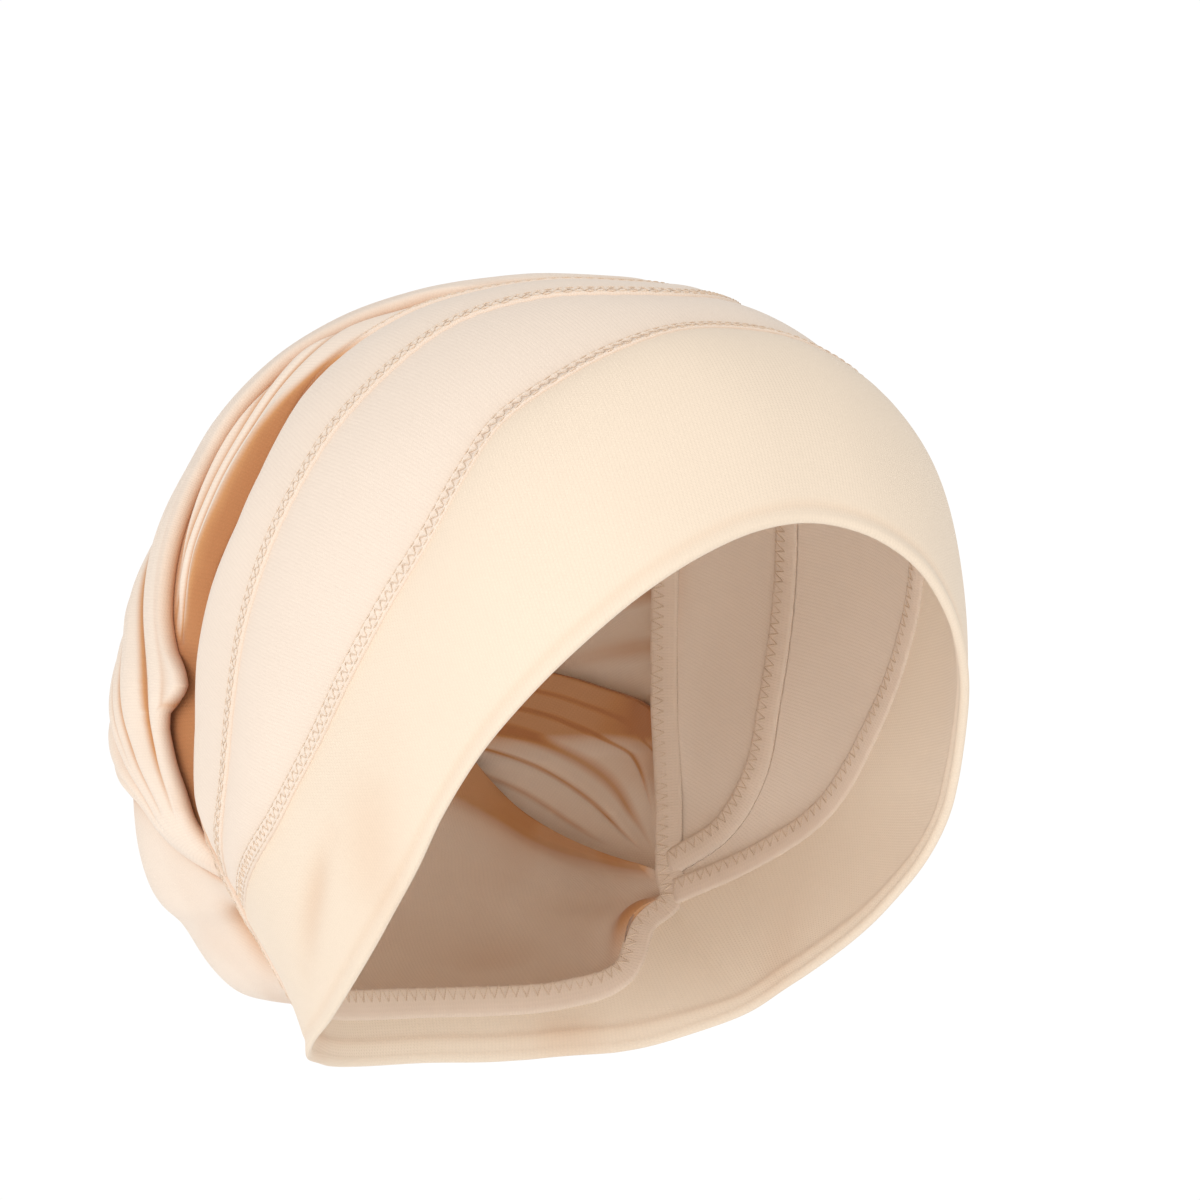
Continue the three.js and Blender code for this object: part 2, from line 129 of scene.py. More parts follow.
# Rim of the gathered back: the third seam, then on round the nape
BACK_RIM = [
    [0, -0.13, 0.99, -0.1],
    [0.185, -0.085, 0.99, 0],
    [0.32, 0.085, 0.98, 0.2],
    [0.44, 0.235, 0.945, 0.4],
    [0.555, 0.355, 0.87, 0.5],
    [0.655, 0.45, 0.765, 0.5],
    [0.715, 0.515, 0.635, 0.4],
    [0.77, 0.56, 0.495, 0.5],
    [0.815, 0.61, 0.355, 0.7],
    [0.85, 0.655, 0.185, 0.9],
    [0.86, 0.665, 0, 1],
    [0.855, 0.645, -0.235, 0.8],
    [0.815, 0.59, -0.47, 0.4],
    [0.78, 0.54, -0.54, 0.3],
    [0.7, 0.57, -0.61, 0.1],
    [0.61, 0.56, -0.745, 0],
    [0.45, 0.64, -0.785, 0],
    [0.24, 0.72, -0.795, 0],
    [0, 0.75, -0.8, 0],
]

# The back seen flat: across and up, 0 at the crossing and 1 on the rim. The near side is negative.
# Each row is a station of a strand: its first edge, its middle and its second edge.
OVER_STRAND = [
    [-0.34, 0.94, 0.68, 0.74, 0.97, -0.26],
    [-0.58, 0.58, 0.24, 0.36, 0.5, -0.12],
    [-0.69, 0.37, 0, 0.2, 0.2, -0.04],
    [-0.79, 0.19, -0.24, 0.1, -0.04, -0.03],
    [-0.89, 0, -0.46, 0.02, -0.2, -0.07],
    [-0.95, -0.12, -0.58, -0.07, -0.33, -0.12],
    [-0.92, -0.24, -0.69, -0.19, -0.49, -0.2],
    [-0.9, -0.4, -0.79, -0.36, -0.69, -0.34],
    [-0.82, -0.57, -0.81, -0.58, -0.79, -0.59],
]

UNDER_STRAND = [
    [-0.24, 0.97, -0.18, 0.83, -0.14, 0.72],
    [-0.44, 0.9, -0.36, 0.73, -0.31, 0.61],
    [-0.64, 0.77, -0.53, 0.62, -0.45, 0.5],
    [-0.8, 0.6, -0.67, 0.49, -0.56, 0.4],
    [-0.91, 0.41, -0.76, 0.33, -0.64, 0.26],
    [-0.98, 0.2, -0.83, 0.16, -0.71, 0.11],
    [-1, 0, -0.86, 0, -0.75, -0.03],
    [-0.98, -0.2, -0.86, -0.18, -0.77, -0.16],
    [-0.84, -0.54, -0.795, -0.495, -0.755, -0.44],
]

STRAND_TAIL = [
    [0.26, 0.06, 0.18, 0, 0.12, -0.05],
    [0.48, 0, 0.36, -0.06, 0.25, -0.12],
    [0.72, -0.08, 0.54, -0.15, 0.37, -0.22],
    [0.97, -0.2, 0.7, -0.28, 0.48, -0.33],
    [0.93, -0.37, 0.76, -0.41, 0.61, -0.44],
    [0.81, -0.55, 0.79, -0.555, 0.76, -0.57],
]

POUCH = [
    [-0.84, -0.45, -0.82, -0.53, -0.8, -0.6],
    [-0.58, -0.2, -0.65, -0.46, -0.66, -0.75],
    [-0.26, -0.05, -0.38, -0.4, -0.44, -0.9],
    [-0.08, 0.03, -0.16, -0.37, -0.22, -0.975],
    [0.06, 0.04, 0, -0.36, 0, -1],
    [0.17, 0.02, 0.16, -0.37, 0.22, -0.975],
    [0.29, -0.05, 0.35, -0.4, 0.44, -0.9],
    [0.45, -0.25, 0.57, -0.48, 0.64, -0.77],
    [0.75, -0.54, 0.77, -0.56, 0.8, -0.6],
]

# Station along the rim where the groove widens into the pocket below the near strand
POCKET_STATION = 9

# Thin roll of cloth that stands beside the groove: millimetres, and the stations where it starts and ends
CREST_HEIGHT = 1.8
CREST_AWAY = 3
CREST_WIDTH = 1.7
CREST_START = (4.6, 6)
CREST_END = (8, 9.2)

# How full each strand is along its length, and how far its folds reach: where along it, and the share
OVER_FULLNESS = [[0.1, 0.4], [0.5, 1], [0.72, 1.5], [0.8, 1.4], [0.9, 1], [1, 0.1]]
UNDER_FULLNESS = [[0, 0], [0.3, 1], [0.6, 1], [0.8, 0]]
TAIL_FULLNESS = [[0.8, 1], [1, 0.6]]
OVER_FOLD_REACH = [[0, 0], [0.25, 1], [0.75, 1], [0.95, 0]]
UNDER_FOLD_REACH = [[0.1, 0], [0.4, 1], [0.6, 1], [0.8, 0]]
TAIL_FOLD_REACH = [[0.7, 1], [0.95, 0]]

# Folds that run along each strand: where across it, how wide and how deep, as shares
OVER_FOLDS = [
    [0.16, 0.05, 0.8],
    [0.36, 0.05, 0.6],
    [0.58, 0.06, 1.2],
    [0.78, 0.05, 0.6],
]
UNDER_FOLDS = [
    [0.42, 0.09, 1],
]
TAIL_FOLDS = [
    [0.5, 0.1, 0.6],
]

# Puffs of the pouch: across, up, width and share of its rise
POUCH_PUFFS = [
    [-0.5, -0.38, 0.17, 1],
    [-0.36, -0.64, 0.11, 0.4],
    [0, -0.62, 0.2, 0.6],
    [0.36, -0.66, 0.12, 0.5],
    [0.5, -0.42, 0.14, 0.8],
]

# Fine pleats between the main folds: where across, how wide, how deep in mm, and where along they run
OVER_PLEATS = [
    [0.08, 0.012, 0.5, 0.2, 0.5],
    [0.25, 0.014, 0.8, 0.12, 0.48],
    [0.3, 0.01, 0.35, 0.25, 0.5],
    [0.44, 0.014, 0.7, 0.2, 0.8],
    [0.5, 0.012, 0.5, 0.1, 0.55],
    [0.68, 0.014, 0.8, 0.15, 0.7],
    [0.86, 0.014, 0.9, 0.1, 0.65],
    [0.93, 0.01, 0.5, 0.2, 0.6],
]
UNDER_PLEATS = [
    [0.24, 0.04, 1.8, 0.25, 0.76],
    [0.7, 0.03, 0.5, 0.15, 0.65],
    [0.86, 0.02, 0.4, 0.3, 0.7],
]
TAIL_PLEATS = [
    [0.16, 0.02, 0.7, 0.1, 0.8],
    [0.32, 0.02, 0.9, 0, 0.75],
    [0.66, 0.02, 1, 0.1, 0.8],
    [0.82, 0.02, 0.7, 0, 0.7],
]

# Small gathers where the top strand leaves its seam at the far side: how many, the share of the strand's
# length that they reach, and their height in mm
GATHER_COUNT = 17
GATHER_REACH = 0.09
GATHER_HEIGHT = 0.55

# Groove between the third panel and the back: station along the rim, depth and width in mm
GROOVE = [
    [3.8, 0, 8],
    [4.6, 0.9, 9],
    [5.2, 1.9, 12],
    [5.8, 3.4, 17],
    [6.4, 4.6, 22],
    [7.2, 5, 24],
    [8.2, 3, 20],
    [9.2, 3.2, 15],
    [10, 6.5, 14],
    [10.8, 3.8, 9],
    [11.5, 0, 6],
]

# Shade in that groove: station, how deep, and how many mm it reaches on the panel and on the strand
GROOVE_SHADE = [
    [3.6, 0, 1, 1],
    [4.5, 1.2, 1.5, 1.5],
    [5.3, 1.7, 2.5, 2.2],
    [5.9, 1.8, 6, 2.6],
    [7.2, 1.8, 7, 2.8],
    [8.2, 1.4, 6, 4],
    [8.9, 1.6, 4, 6],
    [9.4, 2.4, 3, 9],
    [10.2, 3, 3, 16],
    [10.8, 2.8, 2, 14],
    [11.3, 0.7, 1, 3],
    [12, 0.1, 1, 1],
]

# The far side's strand runs straight on from its seam, so the groove there has this share of its depth
FAR_GROOVE = 0.25

# How far the top strand's rolled edges are drawn in: where along it, and millimetres
FIRST_EDGE_INSET = [[0, 1.9], [0.48, 1.6], [0.55, 0.8], [0.6, -0.8], [0.64, -1.6], [0.665, -0.6], [0.69, 1.4],
                    [0.715, 3.4], [0.75, 3.6], [0.86, 2], [1, 1]]
SECOND_EDGE_INSET = [[0, 3], [0.05, 1], [0.12, -0.4], [0.22, -0.4], [0.38, 1.4], [0.5, 1.2], [1, 1.2]]

# Hollows of the pouch beside the nape seam: station, half width in stations, depth and reach in mm, shade
NAPE_HOLLOWS = [
    [13.8, 0.8, 3, 5.5, 1.1],
    [16.4, 0.6, 1, 4, 0.3],
]

# Soft creases pressed into the panels, in head millimetres: start, end, width and depth
PANEL_CREASES = [
    [[-75, -12, -30], [-60, 19, -59], 3.5, 0.9],
    [[-75, -30, -12], [-66, -18, -52], 9, 0.5],
    [[62, 12, -35], [52, 6, -76], 6, 0.8],
    [[-30, 62, -79], [-44, 40, -78], 5, 0.7],
    [[26, 64, -79], [40, 46, -78], 5, 0.8],
]

# Gentle waves of the stretched cloth: across, along and up per wave in mm, start and height in mm
CLOTH_WAVES = [
    [71, 53, 97, 0.3, 0.14],
    [-43, 88, 61, 1.9, 0.1],
    [37, -59, 120, 4.1, 0.08],
    [29, 31, -45, 2.6, 0.05],
]

# Seams and hem
SEAM_WIDTH = 4.6
SEAM_HEIGHT = 0.75
SEAM_GAP = 0.3
SEAM_STEP = 0.9
AHEAD_STEP = 0.02
SEAM_BED = 0.8
SEAM_FLOAT = 0.05
RIM_SEAM_SHIFT = -1.7
PUCKER_PITCH = 4.7
PUCKER_HEIGHT = 0.14
PUCKER_REACH = 4
ALLOWANCE_WIDTH = 7
ALLOWANCE_WALL = 0.8
ALLOWANCE_STEP = 1.5
ALLOWANCE_SHIFT = 1
ALLOWANCE_FLOAT = 0.25
OVERLOCK_PITCH = 2.6
OVERLOCK_THREAD = 1.3
HEM_ROLL = 0.35
HEM_ROLL_WIDTH = 2.4
THREAD = 0.3
STITCH_LENGTH = 2.3
STITCH_ROWS = [-1.55, 1.55]
ZIGZAG_REACH = 1.05
STITCH_POINTS = 5
STITCH_SHADE_LIMIT = 0.5

# Rolled edges of the top strand, and the shares of its width between which its height is read
ROLL_RADIUS = 2
ROLL_TURN = 200
ROLL_STEPS = 10
ROLL_SHADE = 0.9
ROLL_SHARES = (0.035, 0.965)

# Colours, as linear light
CREAM = (0.93, 0.785, 0.655)
# Darker, yellower copy of the cream for the front band: painted shade
CREAM_SHADED = (0.92, 0.77, 0.61)
# Painted shade: the cream turns towards these orange tones in folds, creases, grooves and pockets, and to the
# deeper one where the shade is deepest
FOLD_SHADE_ORANGE = (0.62, 0.27, 0.08)
DEEP_SHADE_ORANGE = (0.32, 0.06, 0.012)
THREAD_TAN = (0.86, 0.68, 0.52)

# Finish of the knit: depth of its relief in metres, sheen, and the grain of its fuzz and of its mottle
KNIT_BUMP = 0.00008
SHEEN = 0.25
FUZZ_SCALE = 900
MOTTLE_SCALE = 28

# Finish of the thread
THREAD_BUMP = 0.00005
THREAD_SHEEN = 0.1

# Light all round, as it falls on the cloth and as the backdrop shows it
SOFT_LIGHT = 0.66
BACKDROP_LIGHT = 1.02

# Lamps: name, place and width in metres, power in watts and tint, aimed at the middle of the cap
LAMPS = [
    ["side_light", (-1.5, -0.7, 0.25), 1.4, 11, (1, 0.98, 0.97)],
    ["front_light", (0.7, -1.6, 0.5), 1.4, 5, (1, 0.96, 0.9)],
]
CAP_MIDDLE = (0, 0.02, -0.09)

# Floor, in metres
FLOOR_REACH = 2
FLOOR_LEVEL = -0.43
FLOOR_SIDES = 96
FLOOR_GLOW = 0.22

SIDE_STATION = len(FIRST_SEAM) - 1
NAPE_STATION = len(HEM) - 1

# Camera: turned from straight in front, tilted, and its distance from the middle of the head
CAMERA_TURN = 34.5
CAMERA_TILT = -2
CAMERA_REACH = 1300
PHOTO_SCALE = 4.5
PHOTO_SHIFT = (15, 100)
PHOTO_SIZE = 1200


def smooth(start, end, value):
    share = np.clip((value - start) / (end - start), 0, 1)
    return share * share * (3 - 2 * share)


def level_share(height):
    rise = np.clip(height / CROWN_HEIGHT, 0, 1)
    above = (1 - rise ** HEAD_SQUARENESS) ** (1 / HEAD_SQUARENESS)
    below = 1 - (1 - NECK_SHARE) * smooth(TAPER_START, NAPE_DEPTH, -height)
    return np.where(height > 0, above, below)


def head_radius(direction):
    """Distance from the head's centre to the head form, along unit directions."""
    depth = np.where(direction[..., 1] < 0, BROW_REACH, OCCIPUT_REACH)
    across = (np.abs(direction[..., 0]) / HALF_WIDTH) ** HEAD_SQUARENESS
    along = (np.abs(direction[..., 1]) / depth) ** HEAD_SQUARENESS
    level = (across + along) ** (1 / HEAD_SQUARENESS)
    near = np.zeros(direction.shape[:-1])
    far = np.full(direction.shape[:-1], 2.0 * (HALF_WIDTH + BROW_REACH + OCCIPUT_REACH))
    for _ in range(RADIUS_HALVINGS):
        middle = (near + far) / 2
        outside = middle * level > level_share(middle * direction[..., 2])
        far = np.where(outside, middle, far)
        near = np.where(outside, near, middle)
    return near


def length_of(vectors):
    return np.linalg.norm(vectors, axis=-1, keepdims=True)


def unit(vectors):
    return vectors / np.maximum(length_of(vectors), 1e-9)


def edge_points(rows, side):
    across, along, up, lift = np.array(rows, float).T
    depth = np.where(along < 0, BROW_REACH, OCCIPUT_REACH)
    height = np.where(up < 0, NAPE_DEPTH, CROWN_HEIGHT)
    direction = unit(np.stack([side * across * HALF_WIDTH, along * depth, up * height], axis=-1))
    return direction * (head_radius(direction) + lift * BACK_LIFT)[:, None]


def smooth_curve(points, closed):
    """Curve through the points, as a function of the point number."""
    count = len(points)
    if closed:
        ring = np.concatenate([points[-1:], points, points[:2]])
    else:
        ring = np.concatenate([2 * points[:1] - points[1:2], points, 2 * points[-1:] - points[-2:-1]])
    spans = count if closed else count - 1

    def at(number):
        number = np.asarray(number, float)
        number = np.mod(number, count) if closed else np.clip(number, 0, spans)
        start = np.minimum(number.astype(int), spans - 1)
        share = (number - start)[..., None]
        p0, p1, p2, p3 = (ring[start + k] for k in range(4))
        gaps = [np.maximum(length_of(b - a), 1e-6) ** 0.5 for a, b in ((p0, p1), (p1, p2), (p2, p3))]
        d0, d1, d2 = gaps
        lead = ((p1 - p0) / d0 - (p2 - p0) / (d0 + d1) + (p2 - p1) / d1) * d1
        tail = ((p2 - p1) / d1 - (p3 - p1) / (d1 + d2) + (p3 - p2) / d2) * d1
        s2 = share * share
        s3 = s2 * share
        return (p1 * (2 * s3 - 3 * s2 + 1) + p2 * (3 * s2 - 2 * s3)
                + lead * (s3 - 2 * s2 + share) + tail * (s3 - s2))
    return at


def open_edge(rows):
    points = np.concatenate([edge_points(rows, -1)[:0:-1], edge_points(rows, 1)])
    curve = smooth_curve(points, False)
    return lambda station: curve(np.asarray(station, float) + len(rows) - 1)


def closed_edge(rows):
    points = np.concatenate([edge_points(rows, 1), edge_points(rows, -1)[-2:0:-1]])
    return smooth_curve(points, True)


hem = closed_edge(HEM)
first_seam = open_edge(FIRST_SEAM)
second_seam = open_edge(SECOND_SEAM)
rim = closed_edge(BACK_RIM)


def band_back(station):
    station = np.asarray(station, float)
    on_seam = np.abs(station) <= SIDE_STATION
    return np.where(on_seam[..., None], first_seam(station), rim(station + np.sign(station)))


def to_row(points):
    """Millimetres from the head's centre to metres in the shared frame."""
    return (np.asarray(points, float) - [0, 0, CROWN_INSIDE]) * MM


# Camera, floor and light

def view_axes():
    turn = math.radians(CAMERA_TURN)
    tilt = math.radians(CAMERA_TILT)
    right = np.array([math.cos(turn), -math.sin(turn), 0])
    back = np.array([-math.sin(turn) * math.cos(tilt), -math.cos(turn) * math.cos(tilt), math.sin(tilt)])
    return right, np.cross(back, right), back


def place_camera():
    right, up, back = view_axes()
    target = (PHOTO_SHIFT[0] * right + PHOTO_SHIFT[1] * up) / PHOTO_SCALE
    data = bpy.data.cameras.new("camera")
    data.sensor_width = 36
    data.lens = PHOTO_SCALE * CAMERA_REACH * data.sensor_width / PHOTO_SIZE
    camera = bpy.data.objects.new("camera", data)
    camera.location = to_row(target + CAMERA_REACH * back)
    camera.rotation_euler = Vector(back).to_track_quat("Z", "Y").to_euler()
    bpy.context.scene.collection.objects.link(camera)
    bpy.context.scene.camera = camera


place_camera()


# Meshes

def grid_faces(rows, columns, wraps):
    """Corners of the faces of a shell, as numbers in two grids of points, outer then inner."""
    steps = np.arange(rows - 1)
    count = rows * columns
    a = (steps[:, None] * columns + np.arange(columns - 1)).ravel()
    b = a + columns
    faces = [np.stack([a, b, b + 1, a + 1], axis=1), np.stack([a, a + 1, b + 1, b], axis=1) + count]
    start, stop, end = steps * columns, (steps + 1) * columns, columns - 1
    faces.append(np.stack([start, start + count, stop + count, stop], axis=1))
    faces.append(np.stack([start + end, stop + end, stop + end + count, start + end + count], axis=1))
    if not wraps:
        left = np.arange(columns - 1)
        faces.append(np.stack([left, left + 1, left + 1 + count, left + count], axis=1))
        left = left + (rows - 1) * columns
        faces.append(np.stack([left, left + count, left + 1 + count, left + 1], axis=1))
    return np.concatenate(faces)


def make_piece(name, points, faces, places, painted_shade):
    """Mesh with a place on the cloth for each corner, in metres, and how much painted shade each point takes,
    deepest in folds and grooves.
    """
    first, second, third, fourth = (points[faces[:, k]] for k in range(4))
    if np.einsum("ij,ij->i", first, np.cross(second, third) + np.cross(third, fourth)).sum() < 0:
        faces, places = faces[:, ::-1], places[:, ::-1]
    mesh = bpy.data.meshes.new(name)
    mesh.from_pydata(points.tolist(), [], faces.tolist())
    mesh.shade_smooth()
    layer = mesh.uv_layers.new(name="cloth")
    layer.data.foreach_set("uv", places.reshape(-1).astype(np.float32))
    attribute = mesh.attributes.new("painted_shade", "FLOAT", "POINT")
    attribute.data.foreach_set("value", np.asarray(painted_shade, np.float32).ravel())
    piece = bpy.data.objects.new(name, mesh)
    bpy.context.scene.collection.objects.link(piece)
    return piece


def cloth_mesh(name, outer, inner, painted_shade, wraps=False):
    """Closed shell between two grids of points, rows along the piece and columns across it."""
    rows, columns = outer.shape[:2]
    if wraps:
        closed = np.concatenate([outer, outer[:1]])
    else:
        closed = outer
    middle = columns // 2
    along = np.concatenate([[0], np.cumsum(length_of(np.diff(closed[:, middle], axis=0))[:, 0])])
    across = np.concatenate([np.zeros((len(closed), 1)),
                             np.cumsum(length_of(np.diff(closed, axis=1))[..., 0], axis=1)], axis=1)
    across -= across[:, middle:middle + 1]
    place = np.stack([np.broadcast_to(along[:, None], across.shape), across], axis=-1).reshape(-1, 2) * MM
    place = np.concatenate([place, place])
    faces = grid_faces(len(closed), columns, wraps)
    count = len(closed) * columns
    layer, spot = faces // count, faces % count
    faces_now = layer * rows * columns + (spot // columns % rows) * columns + spot % columns
    points = to_row(np.concatenate([outer.reshape(-1, 3), inner.reshape(-1, 3)]))
    return make_piece(name, points, faces_now, place[faces], np.concatenate([painted_shade.ravel(), painted_shade.ravel()]))


def thread_mesh(name, runs, width, sides=5):
    """Round threads along runs of points, each run given with its outward directions."""
    ring = np.linspace(0, 2 * math.pi, sides, endpoint=False)
    round_place = np.arange(sides) / sides * width * MM * 3
    all_points, all_faces, all_places, base = [], [], [], 0
    for path, outward in runs:
        ahead = unit(np.gradient(path, axis=0))
        side = unit(np.cross(ahead, outward))
        up = np.cross(side, ahead)
        swell = np.sin(np.linspace(0.12, math.pi - 0.12, len(path))) ** 0.35 * width / 2
        points = (path[:, None] + swell[:, None, None]
                  * (np.cos(ring)[None, :, None] * side[:, None] + np.sin(ring)[None, :, None] * up[:, None]))
        count = len(path)
        a = (np.arange(count - 1)[:, None] * sides + np.arange(sides)).ravel()
        b = (np.arange(count - 1)[:, None] * sides + (np.arange(sides) + 1) % sides).ravel()
        faces = np.stack([a, b, b + sides, a + sides], axis=1)
        run = np.concatenate([[0], np.cumsum(length_of(np.diff(path, axis=0))[:, 0])]) * MM
        place = np.stack([np.repeat(run, sides), np.tile(round_place, count)], axis=1)
        all_points.append(points.reshape(-1, 3))
        all_faces.append(faces + base)
        all_places.append(place[faces])
        base += count * sides
    points = to_row(np.concatenate(all_points))
    return make_piece(name, points, np.concatenate(all_faces), np.concatenate(all_places),
                      np.zeros(len(points)))


def share_at(table, place):
    """Value of a table of places and shares, smooth between its rows."""
    table = np.array(table, float)
    value = np.full(np.shape(place), table[0, 1])
    for (start, before), (end, after) in zip(table[:-1], table[1:]):
        value = np.where(place > start, before + (after - before) * smooth(start, end, place), value)
    return value


def cloth_waves(points):
    """Gentle uneven swell of stretched cloth, in millimetres."""
    total = np.zeros(points.shape[:-1])
    for across, along, up, start, height in CLOTH_WAVES:
        turn = points[..., 0] / across + points[..., 1] / along + points[..., 2] / up
        total = total + height * np.sin(2 * math.pi * turn + start)
    return total


def panel_creases(points):
    total = np.zeros(points.shape[:-1])
    for start, end, width, depth in PANEL_CREASES:
        start, end = np.array(start, float), np.array(end, float)
        run = end - start
        share = np.clip((points - start) @ run / (run @ run), 0, 1)
        away = np.linalg.norm(points - start - share[..., None] * run, axis=-1)
        total = total + depth * np.exp(-(away / width) ** 2) * np.sin(math.pi * np.clip(share, 0.08, 0.92))
    return total


# The groove along the rim

def groove_shade(station, away, on_strand):
    """How deep in the groove's shade the cloth is, at a distance from the rim."""
    place = np.abs(station)
    table = np.array(GROOVE_SHADE, float)
    shade = np.interp(place, table[:, 0], table[:, 1]) * np.where(np.asarray(station) > 0, FAR_GROOVE, 1)
    reach = np.interp(place, table[:, 0], table[:, 3 if on_strand else 2])
    return shade * np.exp(-(away / reach) ** 2)


def groove_at(station):
    place = np.abs(station)
    table = np.array(GROOVE, float)
    depth = np.interp(place, table[:, 0], table[:, 1]) * np.where(np.asarray(station) > 0, FAR_GROOVE, 1)
    return depth, np.interp(place, table[:, 0], table[:, 2])


def groove_dip(station, away):
    """How deep the cloth dips at a distance from the rim."""
    depth, width = groove_at(station)
    return depth * (1 - smooth(0, 1, away / width)) ** 1.3


# Panels

def band_swell(station, share, width):
    brow = 1 - smooth(3, 8, np.abs(station))
    return BAND_SWELL * brow * np.sin(math.pi * np.clip(share, 0, 1) ** 2.2) ** 0.6


def panel_swell(station, share, width):
    return PANEL_SWELL * np.sin(math.pi * np.clip(share, 0, 1)) * smooth(0, FULL_SWELL_WIDTH, width)


def pucker(along, away):
    """Small ripples beside a seam, at a length along it and a distance from it."""
    uneven = 0.6 + 0.4 * np.sin(along / 17 + 1.3) * np.sin(along / 41)
    wave = np.sin(2 * math.pi * along / PUCKER_PITCH + 1.5 * np.sin(along / 23))
    return PUCKER_HEIGHT * uneven * wave * np.exp(-away / PUCKER_REACH)


def run_along(points):
    """Length along a line at each of its points."""
    steps = length_of(np.diff(points, axis=0))[:, 0]
    return np.concatenate([[0], np.cumsum(steps)])


def panel(name, front_edge, back_edge, stations, share, wall, swell, kind):
    """Panel of cloth that lies on the head form between two edges."""
    wraps = kind == "band"
    front = front_edge(stations)
    back = back_edge(stations)
    width = length_of(back - front)
    front_lift = length_of(front)[:, 0] - head_radius(unit(front))
    back_lift = length_of(back)[:, 0] - head_radius(unit(back))
    gap = SEAM_GAP / 2
    start = wall / 2 if kind == "band" else gap
    share = share[None, :] * (1 - (start + gap) / width) + start / width
    direction = unit(front[:, None] + (back - front)[:, None] * share[..., None])
    lift = front_lift[:, None] * (1 - share) + back_lift[:, None] * share
    radius = head_radius(direction) + lift + swell(stations[:, None], share, width)
    base = direction * radius[..., None]
    radius = radius + cloth_waves(base) - panel_creases(base)
    from_front, from_back = share * width, (1 - share) * width
    along_back = run_along(back)[:, None]
    along_front = run_along(front)[:, None]
    radius = radius + pucker(along_back, from_back)
    # Painted shade in the pressed creases
    painted_shade = 0.35 * panel_creases(base)
    if kind == "band":
        radius = radius + HEM_ROLL * np.exp(-((from_front - HEM_ROLL_WIDTH / 2) / (HEM_ROLL_WIDTH / 2)) ** 2)
        radius = radius - 0.3 * np.exp(-((from_front - 1.6 * HEM_ROLL_WIDTH) / 1.1) ** 2)
        # Painted shade along the hollow behind the hem's roll
        painted_shade = painted_shade + 0.1 * np.exp(-((from_front - 1.6 * HEM_ROLL_WIDTH) / 1.1) ** 2)
    else:
        radius = radius + pucker(along_front, from_front)
    if kind == "third":
        dip = groove_dip(stations[:, None], from_back)
        radius = radius - dip
        painted_shade = painted_shade + groove_shade(stations[:, None], from_back, False)
    # Painted shade beside the seams
    painted_shade = painted_shade + 0.14 * (np.exp(-from_back / 2.5) + (0 if kind == "band" else np.exp(-from_front / 2.5)))
    outer = direction * radius[..., None]
    inner = direction * (radius - wall)[..., None]
    if kind == "band":
        outer, inner, painted_shade = folded_edge(outer, inner, painted_shade, wall)
    return cloth_mesh(name, outer, inner, painted_shade, wraps)


def folded_edge(outer, inner, painted_shade, wall, steps=7):
    """Rounds the first column's edge into a half turn from the inner face to the outer one."""
    into = unit(outer[:, 2] - outer[:, 0])
    up = unit(outer[:, 0] - inner[:, 0])
    middle = (outer[:, 0] + inner[:, 0]) / 2
    turn = np.linspace(-90, 90, steps) * math.pi / 180
    edge = (middle[:, None] - into[:, None] * np.cos(turn)[None, :, None] * wall / 2
            + up[:, None] * np.sin(turn)[None, :, None] * wall / 2)
    outer = np.concatenate([edge, outer[:, 1:]], axis=1)
    lead = inner[:, :1] + (inner[:, 1:2] - inner[:, :1]) * np.linspace(0.02, 0.9, steps)[None, :, None]
    inner = np.concatenate([lead, inner[:, 1:]], axis=1)
    painted_shade = np.concatenate([np.repeat(painted_shade[:, :1], steps, axis=1), painted_shade[:, 1:]], axis=1)
    return outer, inner, painted_shade


# Seams

def seam_frame(curve, stations):
    """Middle line of a seam, and the directions across it, backwards."""
    line = curve(stations)
    ahead = unit(curve(stations + AHEAD_STEP) - curve(stations - AHEAD_STEP))
    across = unit(np.cross(ahead, unit(line)))
    if across[len(across) // 2, 1] < 0:
        across = -across
    return line, across


def beside_seam(curve, stations, offsets, front, back):
    """Points on the cloth at offsets across a seam: negative towards the face, positive backwards."""
    line, across = seam_frame(curve, stations)
    lift = length_of(line) - head_radius(unit(line))[:, None]
    offsets = np.broadcast_to(offsets, (len(stations), np.shape(offsets)[-1]))
    direction = unit(line[:, None] + across[:, None] * offsets[..., None])
    radius = head_radius(direction) + lift
    base = direction * radius[..., None]
    station = stations[:, None]
    radius = radius + np.where(offsets < 0, front(station, -offsets), back(station, offsets))
    radius = radius + cloth_waves(base) - panel_creases(base)
    radius = radius + pucker(run_along(line)[:, None], np.abs(offsets))
    return direction, radius


def beside_band(station, away):
    width = length_of(first_seam(station[:, 0]) - hem(station[:, 0]))
    return band_swell(station, 1 - away / width, width)


def beside_second(station, away):
    width = np.maximum(length_of(second_seam(station[:, 0]) - first_seam(station[:, 0])), 6)
    return panel_swell(station, away / width, width)


def beside_third(station, away):
    width = np.maximum(length_of(rim(station[:, 0]) - second_seam(station[:, 0])), 6)
    return panel_swell(station, away / width, width)


def beside_rim(station, away):
    return (beside_third(station, away) - groove_dip(station, away)) * (np.abs(station) < SIDE_STATION)


def past_rim(station, away):
    return -groove_dip(station, away)


# Each seam's line, the cloth before and behind it, how far it is shifted back, and the cloth it is sewn to
SEAMS = {
    "first_seam": [first_seam, beside_band, beside_second, 0, "second_panel"],
    "second_seam": [second_seam, beside_second, beside_third, 0, "third_panel"],
    "rim_seam": [rim, beside_rim, past_rim, RIM_SEAM_SHIFT, "third_panel"],
}


def seam_stations(name, step):
    """Stations at even steps of length along a seam."""
    reach = NAPE_STATION + 1 if name == "rim_seam" else SIDE_STATION - 0.05
    fine = np.linspace(-reach, reach, 6001)
    run = run_along(SEAMS[name][0](fine))
    return np.interp(np.linspace(0, run[-1], int(run[-1] / step)), run, fine)


